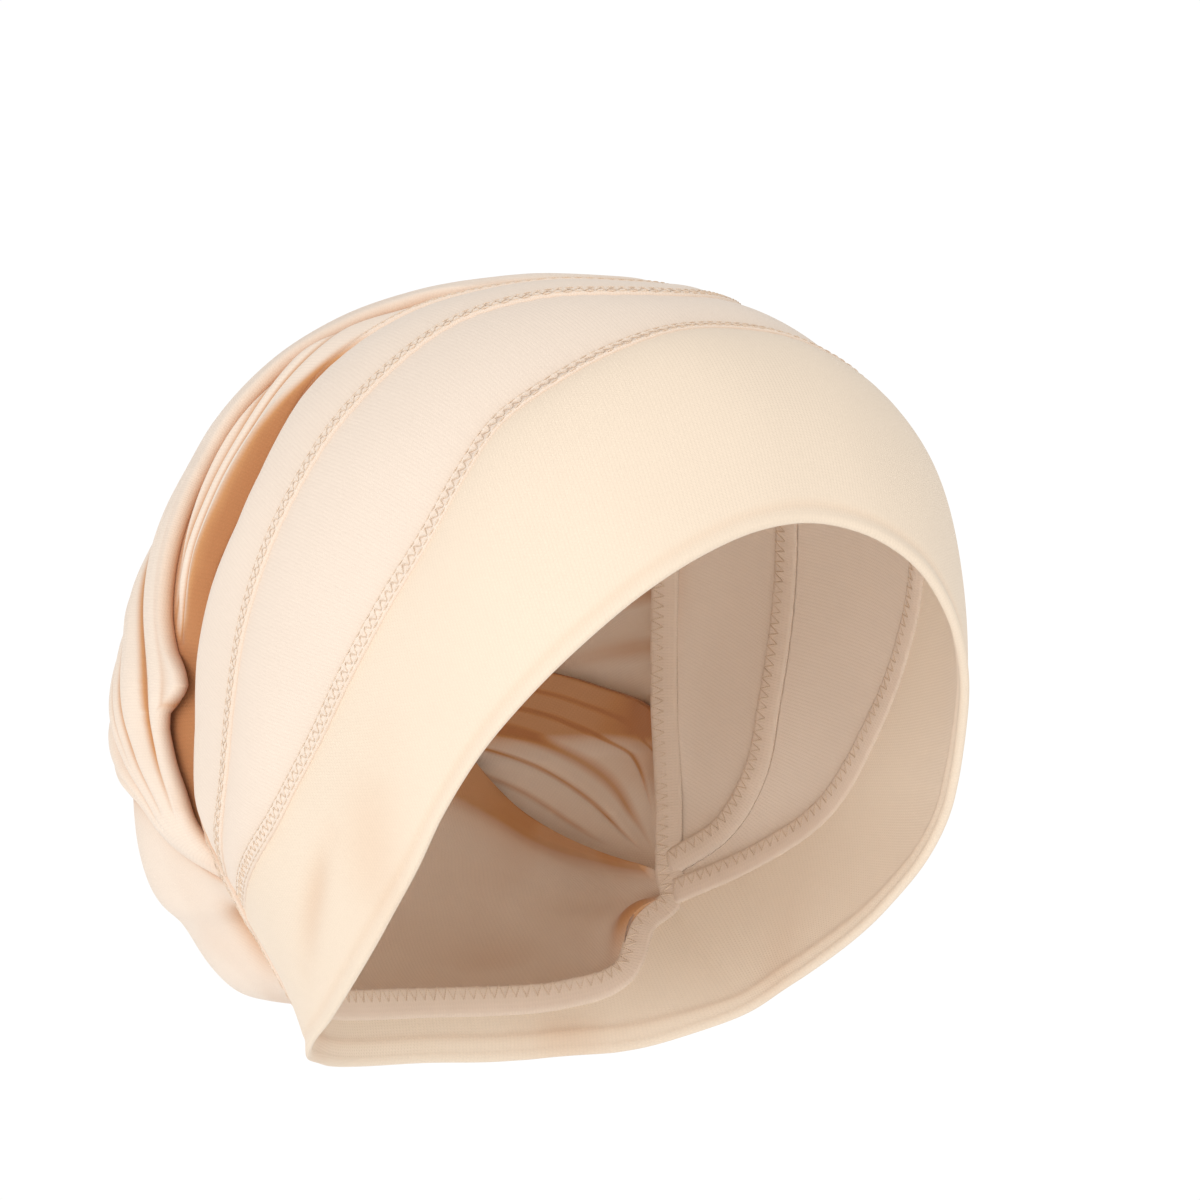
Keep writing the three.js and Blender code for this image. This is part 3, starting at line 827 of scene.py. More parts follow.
def seam_fade(name, stations):
    """Seams lie lower where they run together at the side."""
    if name == "rim_seam":
        return 0.7 + 0.3 * smooth(0.5, 2.5, np.abs(np.abs(stations) - SIDE_STATION))
    return 0.3 + 0.7 * smooth(0, 1.5, SIDE_STATION - np.abs(stations))


def seam_ridge(name):
    curve, front, back, shift, _ = SEAMS[name]
    wraps = name == "rim_seam"
    stations = seam_stations(name, SEAM_STEP)
    if wraps:
        stations = stations[:-1]
    spread = np.linspace(-1, 1, 15)
    direction, radius = beside_seam(curve, stations, shift + spread * SEAM_WIDTH / 2, front, back)
    along = run_along(curve(stations))[:, None]
    high = SEAM_HEIGHT * seam_fade(name, stations)[:, None]
    shape = (1 - np.abs(spread) ** 4) ** 0.7
    shape = shape + 0.16 * np.cos(spread * 3 * math.pi) * (1 - spread ** 2)
    rise = SEAM_FLOAT + high * shape * (1 + 0.1 * np.sin(2 * math.pi * along / STITCH_LENGTH))
    edge = 0.12 * np.abs(spread) ** 8
    outer = direction * (radius + rise - 0.35 * edge)[..., None]
    inner = direction * (radius - SEAM_BED)[..., None]
    # Painted shade on the ridge's flanks, and in the groove along the rim
    painted_shade = np.broadcast_to(0.16 * (1 - shape), rise.shape)
    if wraps:
        painted_shade = painted_shade + groove_shade(stations, 0, False)[:, None]
    return cloth_mesh(name + "_ridge", outer, inner, painted_shade, wraps)


def seam_allowance(name):
    """Overlocked edges of the cloth, pressed flat against the inside."""
    curve, front, back, shift, _ = SEAMS[name]
    wraps = name == "rim_seam"
    stations = seam_stations(name, ALLOWANCE_STEP)
    if wraps:
        stations = stations[:-1]
    spread = np.linspace(-1, 1, 9)
    direction, radius = beside_seam(curve, stations, shift + ALLOWANCE_SHIFT + spread * ALLOWANCE_WIDTH / 2,
                                    front, back)
    along = run_along(curve(stations))[:, None]
    wavy = 0.25 * np.sin(along / 3.1) * np.abs(spread) + 0.2 * np.sin(along / 7.7)
    rounded_edge = 0.3 * (1 - spread ** 2) ** 0.35
    below = CLOTH_WALL + ALLOWANCE_FLOAT
    outer = direction * (radius - below)[..., None]
    inner = direction * (radius - below - ALLOWANCE_WALL / 2 - rounded_edge - 0.3 * np.abs(wavy))[..., None]
    # The allowances take a light, even painted shade
    return cloth_mesh(name + "_allowance", outer, inner, 0.1 + 0 * wavy, wraps)


def overlock_runs(name):
    """Threads that bind the cut edge of the allowance on the inside."""
    curve, front, back, shift, _ = SEAMS[name]
    stations = seam_stations(name, OVERLOCK_PITCH / 2)
    offsets = shift + ALLOWANCE_SHIFT + np.array([0, ALLOWANCE_WIDTH / 2 - 0.1])
    direction, radius = beside_seam(curve, stations, offsets, front, back)
    below = CLOTH_WALL + ALLOWANCE_FLOAT + ALLOWANCE_WALL / 2 + np.array([0.42, 0.12])
    lines = direction * (radius - below)[..., None]
    shares = np.linspace(0.02, 0.98, STITCH_POINTS)
    runs = []
    for k in range(len(stations) - 1):
        here, there = (0, 1) if k % 2 == 0 else (1, 0)
        run = lines[k, here] + (lines[k + 1, there] - lines[k, here]) * shares[:, None]
        runs.append((run, np.tile(-direction[k, here], (STITCH_POINTS, 1))))
    return runs


def stitch_runs(name):
    """Cover stitch: two rows of short stitches and a zigzag between them, out of sight in the groove."""
    curve, front, back, shift, _ = SEAMS[name]
    stations = seam_stations(name, STITCH_LENGTH / 2)
    offsets = np.array([STITCH_ROWS[0], -ZIGZAG_REACH, ZIGZAG_REACH, STITCH_ROWS[1]]) + shift
    direction, radius = beside_seam(curve, stations, offsets, front, back)
    high = SEAM_FLOAT + SEAM_HEIGHT * seam_fade(name, stations)[:, None]
    lines = direction * (radius + high - 0.03)[..., None]
    runs = []
    shares = np.linspace(0.06, 0.94, STITCH_POINTS)
    hidden = np.zeros(len(stations), bool)
    if name == "rim_seam":
        hidden = groove_shade(stations, 0, False) > STITCH_SHADE_LIMIT
    for column in (0, 3):
        for k in range(0, len(stations) - 2, 2):
            if hidden[k]:
                continue
            run = lines[k, column] + (lines[k + 2, column] - lines[k, column]) * shares[:, None]
            up = direction[k, column]
            arch = 0.12 * np.sin(math.pi * shares) - 0.06
            runs.append((run + up * arch[:, None], np.tile(up, (STITCH_POINTS, 1))))
    for k in range(0, len(stations) - 2):
        if hidden[k]:
            continue
        here, there = (1, 2) if k % 2 == 0 else (2, 1)
        run = lines[k, here] + (lines[k + 1, there] - lines[k, here]) * shares[:, None]
        up = direction[k, here]
        arch = 0.1 * np.sin(math.pi * shares)
        runs.append((run + up * arch[:, None], np.tile(up, (STITCH_POINTS, 1))))
    return runs


# The gathered back

RIM_TABLE_STEPS = 4001
TWIST = np.array([0, TWIST_REACH, -TWIST_DROP])
RIM_CLEARANCE = 2 * SEAM_GAP / TWIST_REACH
BACK_SPAN = 100


def rim_by_turn():
    """Points of the rim at even steps of its length, once round, with their stations."""
    numbers = np.linspace(0, 2 * (len(BACK_RIM) - 1), RIM_TABLE_STEPS)
    points = rim(numbers)
    run = run_along(points)
    signed = np.where(numbers > len(BACK_RIM) - 1, numbers - 2 * (len(BACK_RIM) - 1), numbers)
    return run / run[-1], points, signed


RIM_RUN, RIM_POINTS, RIM_STATIONS = rim_by_turn()


def turn_of(spots):
    return np.mod(np.arctan2(spots[..., 0], spots[..., 1]) / (2 * math.pi), 1)


def back_point(spots):
    """The rounded bag from the rim to the crossing, before its strands are raised."""
    reach = np.minimum(np.hypot(spots[..., 0], spots[..., 1]), 1)
    turn = turn_of(spots)
    edge = np.stack([np.interp(turn, RIM_RUN, RIM_POINTS[:, k]) for k in range(3)], axis=-1)
    angle = (1 - (1 - reach) ** (TWIST_SQUARENESS / 2)) * math.pi / 2
    spread = (np.sin(angle) ** (2 / TWIST_SQUARENESS))[..., None]
    depth = (np.maximum(np.cos(angle), 0) ** (2 / TWIST_SQUARENESS))[..., None]
    flat = TWIST + (edge - TWIST) * spread
    deep = edge + (TWIST - edge) * depth
    return np.stack([flat[..., 0], deep[..., 1], flat[..., 2]], axis=-1)


def back_normal(spots):
    step = NORMAL_STEP
    reach = np.maximum(np.hypot(spots[..., 0], spots[..., 1]), step)
    inside = spots * np.minimum(1, (1 - 2 * step) / reach)[..., None]
    side, rise = np.array([step, 0]), np.array([0, step])
    along_across = back_point(inside + side) - back_point(inside - side)
    along_up = back_point(inside + rise) - back_point(inside - rise)
    return unit(np.cross(along_up, along_across))


def spline(points):
    """Smooth curve through flat points, as a function of its share."""
    ring = np.concatenate([points[:1], points, points[-1:]])
    spans = len(points) - 1

    def at(share):
        number = np.clip(np.asarray(share, float), 0, 1) * spans
        start = np.minimum(number.astype(int), spans - 1)
        t = (number - start)[..., None]
        p0, p1, p2, p3 = (ring[start + k] for k in range(4))
        v0, v1 = (p2 - p0) / 2, (p3 - p1) / 2
        return ((2 * p1 - 2 * p2 + v0 + v1) * t ** 3 + (-3 * p1 + 3 * p2 - 2 * v0 - v1) * t * t + v0 * t + p1)
    return at


def strand_spots(rows, flow, across, starts_on_rim=False):
    table = np.array(rows, float)
    first, middle, second = (spline(table[:, k:k + 2])(flow) for k in (0, 2, 4))
    a = across[..., None]
    spots = first * (1 - a) * (1 - 2 * a) + middle * 4 * a * (1 - a) + second * a * (2 * a - 1)
    limit = 1 - RIM_CLEARANCE
    reach = np.hypot(spots[..., 0], spots[..., 1])
    on_rim = (1 - smooth(0, 0.12, flow)) if starts_on_rim else 0
    wanted = np.minimum(reach + (limit - reach) * on_rim, limit)
    return spots * (wanted / np.maximum(reach, 1e-6))[..., None]


def outline_of(rows, starts_on_rim=False):
    edge = np.linspace(0, 1, 61)
    zero, one = np.zeros(61), np.ones(61)
    start = strand_spots(rows, zero, edge, starts_on_rim)[::-1]
    first = strand_spots(rows, edge[1:], zero[1:], starts_on_rim)
    second = strand_spots(rows, edge[1:], one[1:], starts_on_rim)[::-1]
    return np.concatenate([start, first, second])


def depth_inside(spots, outline):
    """How far each spot lies inside an outline, negative outside."""
    flat = spots.reshape(-1, 2)
    nearest = np.full(len(flat), np.inf)
    inside = np.zeros(len(flat), bool)
    for start, end in zip(outline, np.roll(outline, -1, axis=0)):
        side = end - start
        share = np.clip((flat - start) @ side / max(side @ side, 1e-9), 0, 1)
        nearest = np.minimum(nearest, np.hypot(*(flat - start - share[:, None] * side).T))
        if start[1] != end[1]:
            crosses = (start[1] > flat[:, 1]) != (end[1] > flat[:, 1])
            inside ^= crosses & (flat[:, 0] < start[0] + side[0] * (flat[:, 1] - start[1]) / side[1])
    return np.where(inside, nearest, -nearest).reshape(spots.shape[:-1])


def fold_depth(folds, across):
    """Main folds: a crisp valley line between rounded sides."""
    total = 0
    for at, width, depth in folds:
        away = np.abs(across - at) / width
        total = total + depth * FOLD_DEPTH * (0.6 * np.exp(-away ** 2) + 0.4 * np.exp(-1.6 * away))
    return total


def pleat_depth(pleats, flow, across):
    total = 0
    for at, width, depth, start, end in pleats:
        drift = 0.012 * np.sin(flow * 7 + at * 40)
        away = np.abs(across - at - drift) / width
        reach = smooth(start - 0.1, start + 0.1, flow) * (1 - smooth(end - 0.12, end + 0.12, flow))
        total = total + depth * reach * np.exp(-away ** 1.4)
    return total


def rounded(across):
    return np.sqrt(np.sin(math.pi * np.clip(across, 0, 1)))


def strand_height(flow, across, rise, fullness, folds, fold_reach, pleats):
    body = rounded(across) * rise * share_at(fullness, flow)
    folds = fold_depth(folds, across) * share_at(fold_reach, flow)
    return np.maximum(body - folds, 0) - pleat_depth(pleats, flow, across) * rounded(across)


def over_height(flow, across, spots):
    wave = np.sin(2 * math.pi * GATHER_COUNT * across + 2 * np.sin(9 * across))
    gathers = wave * np.exp(-(flow / GATHER_REACH) ** 2)
    return (strand_height(flow, across, OVER_RISE, OVER_FULLNESS, OVER_FOLDS, OVER_FOLD_REACH, OVER_PLEATS)
            + GATHER_HEIGHT * gathers * smooth(0.35, 0.6, across) * smooth(0, 0.02, flow))


def under_height(flow, across, spots):
    return strand_height(flow, across, UNDER_RISE, UNDER_FULLNESS, UNDER_FOLDS, UNDER_FOLD_REACH,
                         UNDER_PLEATS)


def tail_height(flow, across, spots):
    return strand_height(flow, across, UNDER_RISE, TAIL_FULLNESS, TAIL_FOLDS, TAIL_FOLD_REACH, TAIL_PLEATS)


def pouch_height(flow, across, spots):
    puffs = 0
    for x, z, width, height in POUCH_PUFFS:
        away = np.hypot(spots[..., 0] - x, spots[..., 1] - z) / width
        puffs = puffs + height * np.exp(-away * away)
    return puffs * POUCH_RISE * (1 - smooth(0.85, 1, across))


# Height at which each layer of the back lies where cloths cross, in millimetres
OVER_LEVEL = CLOTH_WALL + LAYER_GAP / 2
UNDER_LEVEL = -LAYER_GAP / 2
POUCH_LEVEL = -CLOTH_WALL - 1.5 * LAYER_GAP

# Shade of a cloth beside the one that covers it, how far it reaches, and the deepest shade of all
TUCK_SHADE = 0.9
TUCK_SHADE_REACH = 0.016
DEEPEST_PAINTED_SHADE = 1.3


def blurred(grid, reach):
    """Mean of a grid over a window, rows then columns."""
    for axis, size in enumerate(reach):
        padded = np.concatenate([np.repeat(grid.take([0], axis), size, axis), grid,
                                 np.repeat(grid.take([-1], axis), size, axis)], axis)
        total = np.cumsum(padded, axis)
        zero = np.zeros_like(total.take([0], axis))
        total = np.concatenate([zero, total], axis)
        window = 2 * size + 1
        count = grid.shape[axis]
        grid = (total.take(range(window, window + count), axis) - total.take(range(count), axis)) / window
    return grid


def rolled_edge(outer, inner, painted_shade, last):
    """Turns the first or last column's edge down and under in a soft roll."""
    end, beside = (-1, -3) if last else (0, 2)
    edge, up = outer[:, end], unit(outer[:, end] - inner[:, end])
    out = unit(edge - outer[:, beside])
    out = unit(out - up * (out * up).sum(axis=-1, keepdims=True))
    turn = np.linspace(0, ROLL_TURN * math.pi / 180, ROLL_STEPS + 1)[1:]
    centre = edge - up * ROLL_RADIUS
    wheel = np.sin(turn)[None, :, None] * out[:, None] + np.cos(turn)[None, :, None] * up[:, None]
    roll_out = centre[:, None] + wheel * ROLL_RADIUS
    roll_in = centre[:, None] + wheel * (ROLL_RADIUS - CLOTH_WALL)
    shade = painted_shade[:, end][:, None] + ROLL_SHADE * smooth(0, ROLL_STEPS, np.arange(1, ROLL_STEPS + 1))[None, :]
    if last:
        pairs = (outer, roll_out), (inner, roll_in), (painted_shade, shade)
    else:
        pairs = (roll_out[:, ::-1], outer), (roll_in[:, ::-1], inner), (shade[:, ::-1], painted_shade)
    return [np.concatenate(pair, axis=1) for pair in pairs]


def crest_share(station):
    place = np.abs(station)
    return smooth(*CREST_START, place) * (1 - smooth(*CREST_END, place))


def drawn_in(rows, flow, across):
    """Leaves room at both edges for their rolls."""
    table = np.array(rows, float)
    first, middle, second = (spline(table[:, k:k + 2])(flow) for k in (0, 2, 4))
    width = (length_of(middle - first) + length_of(second - middle))[..., 0] * BACK_SPAN
    start, end = (np.interp(flow, *np.array(inset, float).T)
                  for inset in (FIRST_EDGE_INSET, SECOND_EDGE_INSET))
    start, end = (np.clip(inset / width, -0.1, 0.3) for inset in (start, end))
    return start + (1 - start - end) * across


def hollow_shade(rise):
    """Painted shade: folds are darker where the cloth lies below its surroundings."""
    fine = np.clip((blurred(rise, (3, 6)) - rise) / 0.7, 0, 1)
    wide = np.clip((blurred(rise, (6, 12)) - rise) / 4, 0, 0.25)
    return fine + wide


def beside_rim_of_back(spots, rise, painted_shade):
    """Groove, thin roll and nape hollows of the cloth next to the rim, and how deep it dips."""
    station = np.interp(turn_of(spots), RIM_RUN, RIM_STATIONS)
    away = (1 - np.hypot(spots[..., 0], spots[..., 1])) * BACK_SPAN
    tighter = 9 - 8 * smooth(POCKET_STATION - 0.8, POCKET_STATION + 0.6, np.abs(station))
    dip = groove_dip(station, away * tighter)
    rise = rise + CREST_HEIGHT * np.exp(-((away - CREST_AWAY) / CREST_WIDTH) ** 2) * crest_share(station)
    painted_shade = painted_shade * (1 - smooth(0, 5, away)) * 0.4 + painted_shade * smooth(0, 5, away)
    painted_shade = painted_shade + groove_shade(station, away, True)
    for middle, half, depth, reach, shade in NAPE_HOLLOWS:
        share = np.exp(-((np.abs(station) - middle) / half) ** 2) * np.exp(-((away - 3) / reach) ** 2)
        rise = rise - depth * share
        painted_shade = painted_shade + shade * share
    return rise, painted_shade, dip


def strand(name, rows, height, steps, start_level=0, beneath=(), level=0, starts_on_rim=False, dips=True,
           rolls=(), sink=(-0.05, -0.01)):
    """Gathered cloth of the back: its rows, its height, and the outlines of the cloths it lies beneath."""
    flow, across = np.meshgrid(np.linspace(0, 1, steps[0]), np.linspace(0, 1, steps[1]), indexing="ij")
    if rolls:
        across = drawn_in(rows, flow, across)
    spots = strand_spots(rows, flow, across, starts_on_rim)
    if starts_on_rim:
        start_level = start_level * smooth(0, 0.06, flow) * (1 - 0.9 * smooth(0.9, 1, flow))
    rise = height(flow, np.clip(across, *ROLL_SHARES) if rolls else across, spots) + start_level
    painted_shade = hollow_shade(rise)
    if beneath:
        depths = np.max([depth_inside(spots, outline) for outline in beneath], axis=0)
        rise = rise + (level - rise) * smooth(*sink, depths)
        painted_shade = painted_shade + TUCK_SHADE * np.exp(-np.maximum(-depths, 0) / TUCK_SHADE_REACH)
    dip = np.zeros_like(rise)
    if dips:
        rise, painted_shade, dip = beside_rim_of_back(spots, rise, painted_shade)
    base, normal = back_point(spots), back_normal(spots)
    rise = rise + 0.5 * cloth_waves(1.7 * base)
    base = base - unit(base) * dip[..., None]
    outer = base + normal * rise[..., None]
    inner = base + normal * (rise - CLOTH_WALL)[..., None]
    for last in rolls:
        outer, inner, painted_shade = rolled_edge(outer, inner, painted_shade, last)
    return cloth_mesh(name, outer, inner, np.clip(painted_shade, 0, DEEPEST_PAINTED_SHADE))


over_outline = outline_of(OVER_STRAND, True)
under_outline = outline_of(UNDER_STRAND)
tail_outline = outline_of(STRAND_TAIL)

# Where the rows and columns of the panels' meshes lie: closer together at the edges
even = np.linspace(0, 1, 37)
round_stations = np.linspace(-NAPE_STATION, NAPE_STATION, 421)[:-1]
side_stations = np.linspace(-SIDE_STATION + 0.02, SIDE_STATION - 0.02, 381)
edge_spacing = (1 - np.cos(math.pi * np.linspace(0, 1, 79))) / 2
panel_spacing = (even + (1 - np.cos(math.pi * even)) / 2) / 2

cloths = {
    "front_band": panel("band_cloth", hem, band_back, round_stations, edge_spacing,
                        BAND_WALL, band_swell, "band"),
    "second_panel": panel("second_panel_cloth", first_seam, second_seam, side_stations, panel_spacing,
                          CLOTH_WALL, panel_swell, "second"),
    "third_panel": panel("third_panel_cloth", second_seam, rim, side_stations, panel_spacing,
                         CLOTH_WALL, panel_swell, "third"),
    "over_strand": strand("over_strand_cloth", OVER_STRAND, over_height, (250, 130), start_level=OVER_LEVEL,
                          starts_on_rim=True, dips=False, rolls=(False, True)),
    "under_strand": strand("under_strand_cloth", UNDER_STRAND, under_height, (220, 100),
                           beneath=[over_outline], level=UNDER_LEVEL),
    "under_strand_tail": strand("strand_tail_cloth", STRAND_TAIL, tail_height, (160, 80),
                                beneath=[over_outline], level=UNDER_LEVEL),
    "nape_pouch": strand("pouch_cloth", POUCH, pouch_height, (200, 110),
                         beneath=[over_outline, under_outline, tail_outline], level=POUCH_LEVEL,
                         sink=(-0.02, 0.012)),
}


# Materials

def input_socket(group, name, kind, value=None):
    socket = group.interface.new_socket(name, in_out="INPUT", socket_type=kind)
    if value is not None:
        socket.default_value = value


def new_group(name, inputs, outputs):
    group = bpy.data.node_groups.new(name, "ShaderNodeTree")
    for label, kind, value in inputs:
        input_socket(group, label, kind, value)
    for label, kind in outputs:
        group.interface.new_socket(label, in_out="OUTPUT", socket_type=kind)
    return group


def node(tree, kind, **settings):
    made = tree.nodes.new(kind)
    for key, value in settings.items():
        setattr(made, key, value)
    return made


def maths(tree, operation, first, second=None):
    made = node(tree, "ShaderNodeMath", operation=operation)
    for socket, value in zip(made.inputs, (first, second)):
        if value is None:
            continue
        if isinstance(value, (int, float)):
            socket.default_value = value
        else:
            tree.links.new(value, socket)
    return made.outputs[0]


def blend_colours(tree, share, first, second):
    made = node(tree, "ShaderNodeMix", data_type="RGBA")
    for name, value in (("Factor_Float", share), ("A_Color", first), ("B_Color", second)):
        socket = next(s for s in made.inputs if s.identifier == name)
        if isinstance(value, (tuple, float, int)):
            socket.default_value = value
        else:
            tree.links.new(value, socket)
    return next(s for s in made.outputs if s.identifier == "Result_Color")


def knit_group():
    """Fine jersey: columns of small V stitches, soft fuzz, and painted shade that turns the colour orange
    inside folds, creases and grooves.
    """
    group = new_group("jersey_knit", [
        ("Place", "NodeSocketVector", None),
        ("Cloth Color", "NodeSocketColor", (*CREAM, 1)),
        ("Painted Shade Color", "NodeSocketColor", (*FOLD_SHADE_ORANGE, 1)),
        ("Deep Shade Color", "NodeSocketColor", (*DEEP_SHADE_ORANGE, 1)),
        ("Painted Shade", "NodeSocketFloat", 0),
        ("Wale Width", "NodeSocketFloat", 0.0009),
        ("Course Height", "NodeSocketFloat", 0.0007),
        ("Mottle", "NodeSocketFloat", 0.05),
    ], [("Color", "NodeSocketColor"), ("Roughness", "NodeSocketFloat"), ("Height", "NodeSocketFloat")])
    start, end = node(group, "NodeGroupInput"), node(group, "NodeGroupOutput")
    split = node(group, "ShaderNodeSeparateXYZ")
    group.links.new(start.outputs["Place"], split.inputs[0])
    wale = maths(group, "DIVIDE", split.outputs[0], start.outputs["Wale Width"])
    course = maths(group, "DIVIDE", split.outputs[1], start.outputs["Course Height"])
    lean = maths(group, "ABSOLUTE", maths(group, "SUBTRACT", maths(group, "FRACT", wale), 0.5))
    column = maths(group, "SINE", maths(group, "MULTIPLY", maths(group, "FRACT", wale), math.pi))
    chevron = maths(group, "ADD", course, maths(group, "MULTIPLY", lean, 1.3))
    loops = maths(group, "SINE", maths(group, "MULTIPLY", chevron, 2 * math.pi))
    loops = maths(group, "ADD", maths(group, "MULTIPLY", loops, 0.3), 0.7)
    stitch = maths(group, "MULTIPLY", maths(group, "POWER", column, 0.6), loops)
    where = node(group, "ShaderNodeTexCoord")
    fuzz = node(group, "ShaderNodeTexNoise")
    fuzz.inputs["Scale"].default_value = FUZZ_SCALE
    fuzz.inputs["Detail"].default_value = 3
    mottle = node(group, "ShaderNodeTexNoise")
    mottle.inputs["Scale"].default_value = MOTTLE_SCALE
    mottle.inputs["Detail"].default_value = 4
    for noise in (fuzz, mottle):
        group.links.new(where.outputs["Object"], noise.inputs["Vector"])
    height = maths(group, "ADD", maths(group, "MULTIPLY", stitch, 0.75),
                   maths(group, "MULTIPLY", fuzz.outputs[0], 0.35))
    shade = maths(group, "SUBTRACT", 1, maths(group, "MULTIPLY", maths(group, "SUBTRACT", 1, stitch), 0.05))
    cloud = maths(group, "SUBTRACT", mottle.outputs[0], 0.5)
    cloud = maths(group, "MULTIPLY", cloud, start.outputs["Mottle"])
    shade = maths(group, "ADD", shade, cloud)
    # Painted shade: up to a share of 1 the cream turns to the orange shade colour, and beyond it on to the
    # deep shade colour
    painted_shade = maths(group, "MULTIPLY", maths(group, "MINIMUM", start.outputs["Painted Shade"], 1), 0.9)
    deep = maths(group, "MAXIMUM", maths(group, "SUBTRACT", start.outputs["Painted Shade"], 1), 0)
    colour = blend_colours(group, painted_shade, start.outputs["Cloth Color"], start.outputs["Painted Shade Color"])
    colour = blend_colours(group, maths(group, "MINIMUM", deep, 1), colour, start.outputs["Deep Shade Color"])
    scale = node(group, "ShaderNodeVectorMath", operation="SCALE")
    group.links.new(colour, scale.inputs[0])
    group.links.new(shade, scale.inputs["Scale"])
    rough = maths(group, "SUBTRACT", 0.92, maths(group, "MULTIPLY", stitch, 0.12))
    group.links.new(scale.outputs[0], end.inputs["Color"])
    group.links.new(rough, end.inputs["Roughness"])
    group.links.new(height, end.inputs["Height"])
    return group


def twist_group():
    """Spun thread: fine slanted plies along its length."""
    group = new_group("spun_thread", [
        ("Place", "NodeSocketVector", None),
        ("Thread Color", "NodeSocketColor", (*THREAD_TAN, 1)),
        ("Ply Length", "NodeSocketFloat", 0.0006),
    ], [("Color", "NodeSocketColor"), ("Roughness", "NodeSocketFloat"), ("Height", "NodeSocketFloat")])
    start, end = node(group, "NodeGroupInput"), node(group, "NodeGroupOutput")
    split = node(group, "ShaderNodeSeparateXYZ")
    group.links.new(start.outputs["Place"], split.inputs[0])
    slant = maths(group, "ADD", split.outputs[0], maths(group, "MULTIPLY", split.outputs[1], 0.6))
    ply_turn = maths(group, "DIVIDE", start.outputs["Ply Length"], 2 * math.pi)
    ply = maths(group, "SINE", maths(group, "DIVIDE", slant, ply_turn))
    height = maths(group, "ADD", maths(group, "MULTIPLY", ply, 0.5), 0.5)
    scale = node(group, "ShaderNodeVectorMath", operation="SCALE")
    group.links.new(start.outputs["Thread Color"], scale.inputs[0])
    # Painted shade: the thread is darker in the grooves between its plies
    group.links.new(maths(group, "ADD", maths(group, "MULTIPLY", height, 0.16), 0.88), scale.inputs["Scale"])
    group.links.new(scale.outputs[0], end.inputs["Color"])
    rough = maths(group, "SUBTRACT", 0.75, maths(group, "MULTIPLY", height, 0.15))
    group.links.new(rough, end.inputs["Roughness"])
    group.links.new(height, end.inputs["Height"])
    return group


def material_from(name, group, settings, bump, sheen):
    material = bpy.data.materials.new(name)
    material.use_nodes = True
    tree = material.node_tree
    shader = tree.nodes["Principled BSDF"]
    shader.inputs["Sheen Weight"].default_value = sheen
    shader.inputs["Sheen Roughness"].default_value = 0.45
    shader.inputs["Specular IOR Level"].default_value = 0.25
    place = node(tree, "ShaderNodeUVMap", uv_map="cloth")
    used = node(tree, "ShaderNodeGroup", node_tree=group)
    tree.links.new(place.outputs[0], used.inputs["Place"])
    for key, value in settings.items():
        used.inputs[key].default_value = value
    # Each point's painted shade, read from its attribute
    if "Painted Shade" in used.inputs:
        depth = node(tree, "ShaderNodeAttribute", attribute_name="painted_shade")
        tree.links.new(depth.outputs["Fac"], used.inputs["Painted Shade"])
    relief = node(tree, "ShaderNodeBump")
    relief.inputs["Distance"].default_value = bump
    relief.inputs["Strength"].default_value = 1
    tree.links.new(used.outputs["Height"], relief.inputs["Height"])
    tree.links.new(used.outputs["Color"], shader.inputs["Base Color"])
    tree.links.new(used.outputs["Roughness"], shader.inputs["Roughness"])
    tree.links.new(relief.outputs[0], shader.inputs["Normal"])
    return material


knit = knit_group()
twist = twist_group()

JERSEY_COLOURS = {
    # The front band's darker, yellower cream is painted shade
    "band_jersey": CREAM_SHADED,
    "panel_jersey": CREAM,
    "strand_jersey": CREAM,
    "pouch_jersey": CREAM,
}
jersey = {
    slot: material_from(slot + "_knit", knit, {"Cloth Color": (*colour, 1)}, KNIT_BUMP, SHEEN)
    for slot, colour in JERSEY_COLOURS.items()
}
seam_material = material_from(
    "seam_ridge_knit", knit,
    {"Cloth Color": (*CREAM, 1), "Wale Width": 0.0007, "Course Height": 0.0012, "Mottle": 0.12},
    KNIT_BUMP, SHEEN)
thread_material = material_from(
    "thread_spun", twist, {"Thread Color": (*THREAD_TAN, 1)}, THREAD_BUMP, THREAD_SHEEN)

CLOTH_SLOTS = {
    "front_band": "band_jersey",
    "second_panel": "panel_jersey",
    "third_panel": "panel_jersey",
    "over_strand": "strand_jersey",
    "under_strand": "strand_jersey",
    "under_strand_tail": "strand_jersey",
    "nape_pouch": "pouch_jersey",
}
for name, piece in cloths.items():
    piece.data.materials.append(jersey[CLOTH_SLOTS[name]])
    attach(piece, "root")
    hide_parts(name)

trims = {name: [] for name in cloths}
for name, (_, _, _, _, owner) in SEAMS.items():
    made = [
        (seam_ridge(name), seam_material),
        (seam_allowance(name), seam_material),
        (thread_mesh(name + "_stitches", stitch_runs(name), THREAD), thread_material),
        (thread_mesh(name + "_overlock", overlock_runs(name), OVERLOCK_THREAD * THREAD), thread_material),
    ]
    for piece, material in made:
        piece.data.materials.append(material)
        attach(piece, "root")
        trims[owner].append(piece)


# Floor, light and world

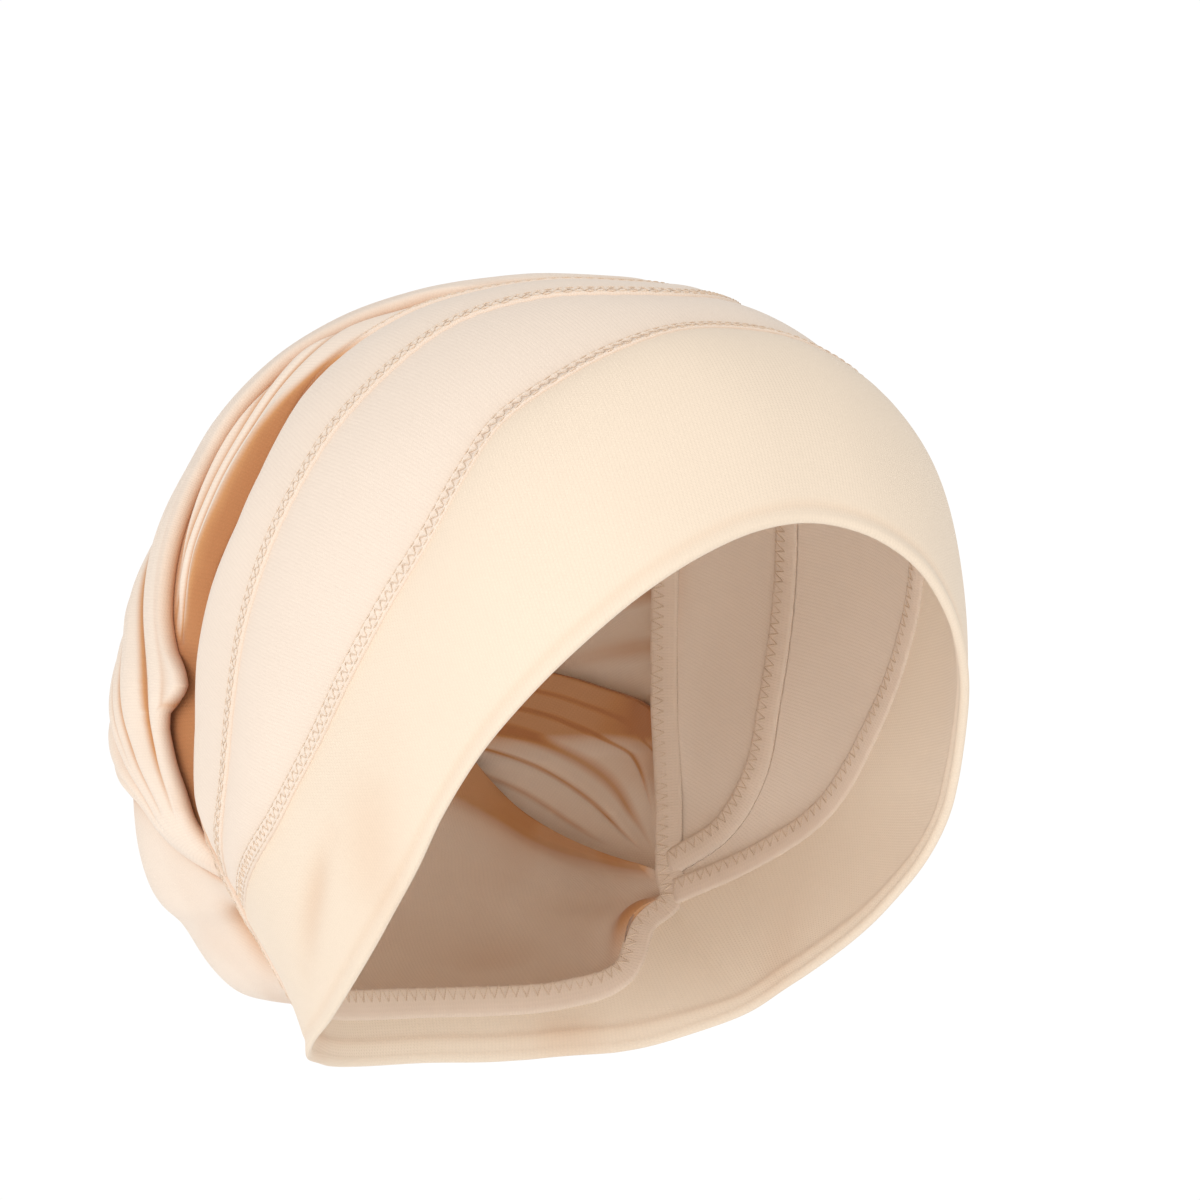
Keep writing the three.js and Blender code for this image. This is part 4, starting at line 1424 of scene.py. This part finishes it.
def soft_light(name, place, aim, size, power, tint):
    data = bpy.data.lights.new(name, "AREA")
    data.shape = "DISK"
    data.size = size
    data.energy = power
    data.color = tint
    lamp = bpy.data.objects.new(name, data)
    lamp.location = place
    lamp.rotation_euler = (Vector(place) - Vector(aim)).to_track_quat("Z", "Y").to_euler()
    bpy.context.scene.collection.objects.link(lamp)


def plain_floor():
    turn = np.linspace(0, 2 * math.pi, FLOOR_SIDES, endpoint=False)
    points = np.stack([FLOOR_REACH * np.cos(turn), FLOOR_REACH * np.sin(turn),
                       np.full_like(turn, FLOOR_LEVEL)], axis=-1)
    mesh = bpy.data.meshes.new("floor")
    mesh.from_pydata(points.tolist(), [], [list(range(FLOOR_SIDES))])
    floor = bpy.data.objects.new("floor", mesh)
    bpy.context.scene.collection.objects.link(floor)
    material = bpy.data.materials.new("floor_paper")
    material.use_nodes = True
    tree = material.node_tree
    shader = tree.nodes["Principled BSDF"]
    grain = node(tree, "ShaderNodeTexNoise")
    grain.inputs["Scale"].default_value = 60
    level_shade = maths(tree, "ADD", maths(tree, "MULTIPLY", grain.outputs[0], 0.02), 0.88)
    tint = node(tree, "ShaderNodeCombineColor")
    for socket in tint.inputs:
        if socket.type == "VALUE":
            tree.links.new(level_shade, socket)
    tree.links.new(tint.outputs[0], shader.inputs["Base Color"])
    shader.inputs["Roughness"].default_value = 0.9
    shader.inputs["Emission Color"].default_value = (1, 1, 1, 1)
    shader.inputs["Emission Strength"].default_value = FLOOR_GLOW
    mesh.materials.append(material)


plain_floor()
world = bpy.data.worlds.new("studio")
world.use_nodes = True
backdrop = world.node_tree.nodes["Background"]
backdrop.inputs["Color"].default_value = (1, 1, 1, 1)
seen = node(world.node_tree, "ShaderNodeLightPath").outputs["Is Camera Ray"]
extra = maths(world.node_tree, "MULTIPLY", seen, BACKDROP_LIGHT - SOFT_LIGHT)
world.node_tree.links.new(maths(world.node_tree, "ADD", extra, SOFT_LIGHT), backdrop.inputs["Strength"])
bpy.context.scene.world = world
for lamp_name, lamp_place, lamp_width, lamp_power, lamp_tint in LAMPS:
    soft_light(lamp_name, lamp_place, CAP_MIDDLE, lamp_width, lamp_power, lamp_tint)
bpy.context.scene.view_settings.view_transform = "Standard"
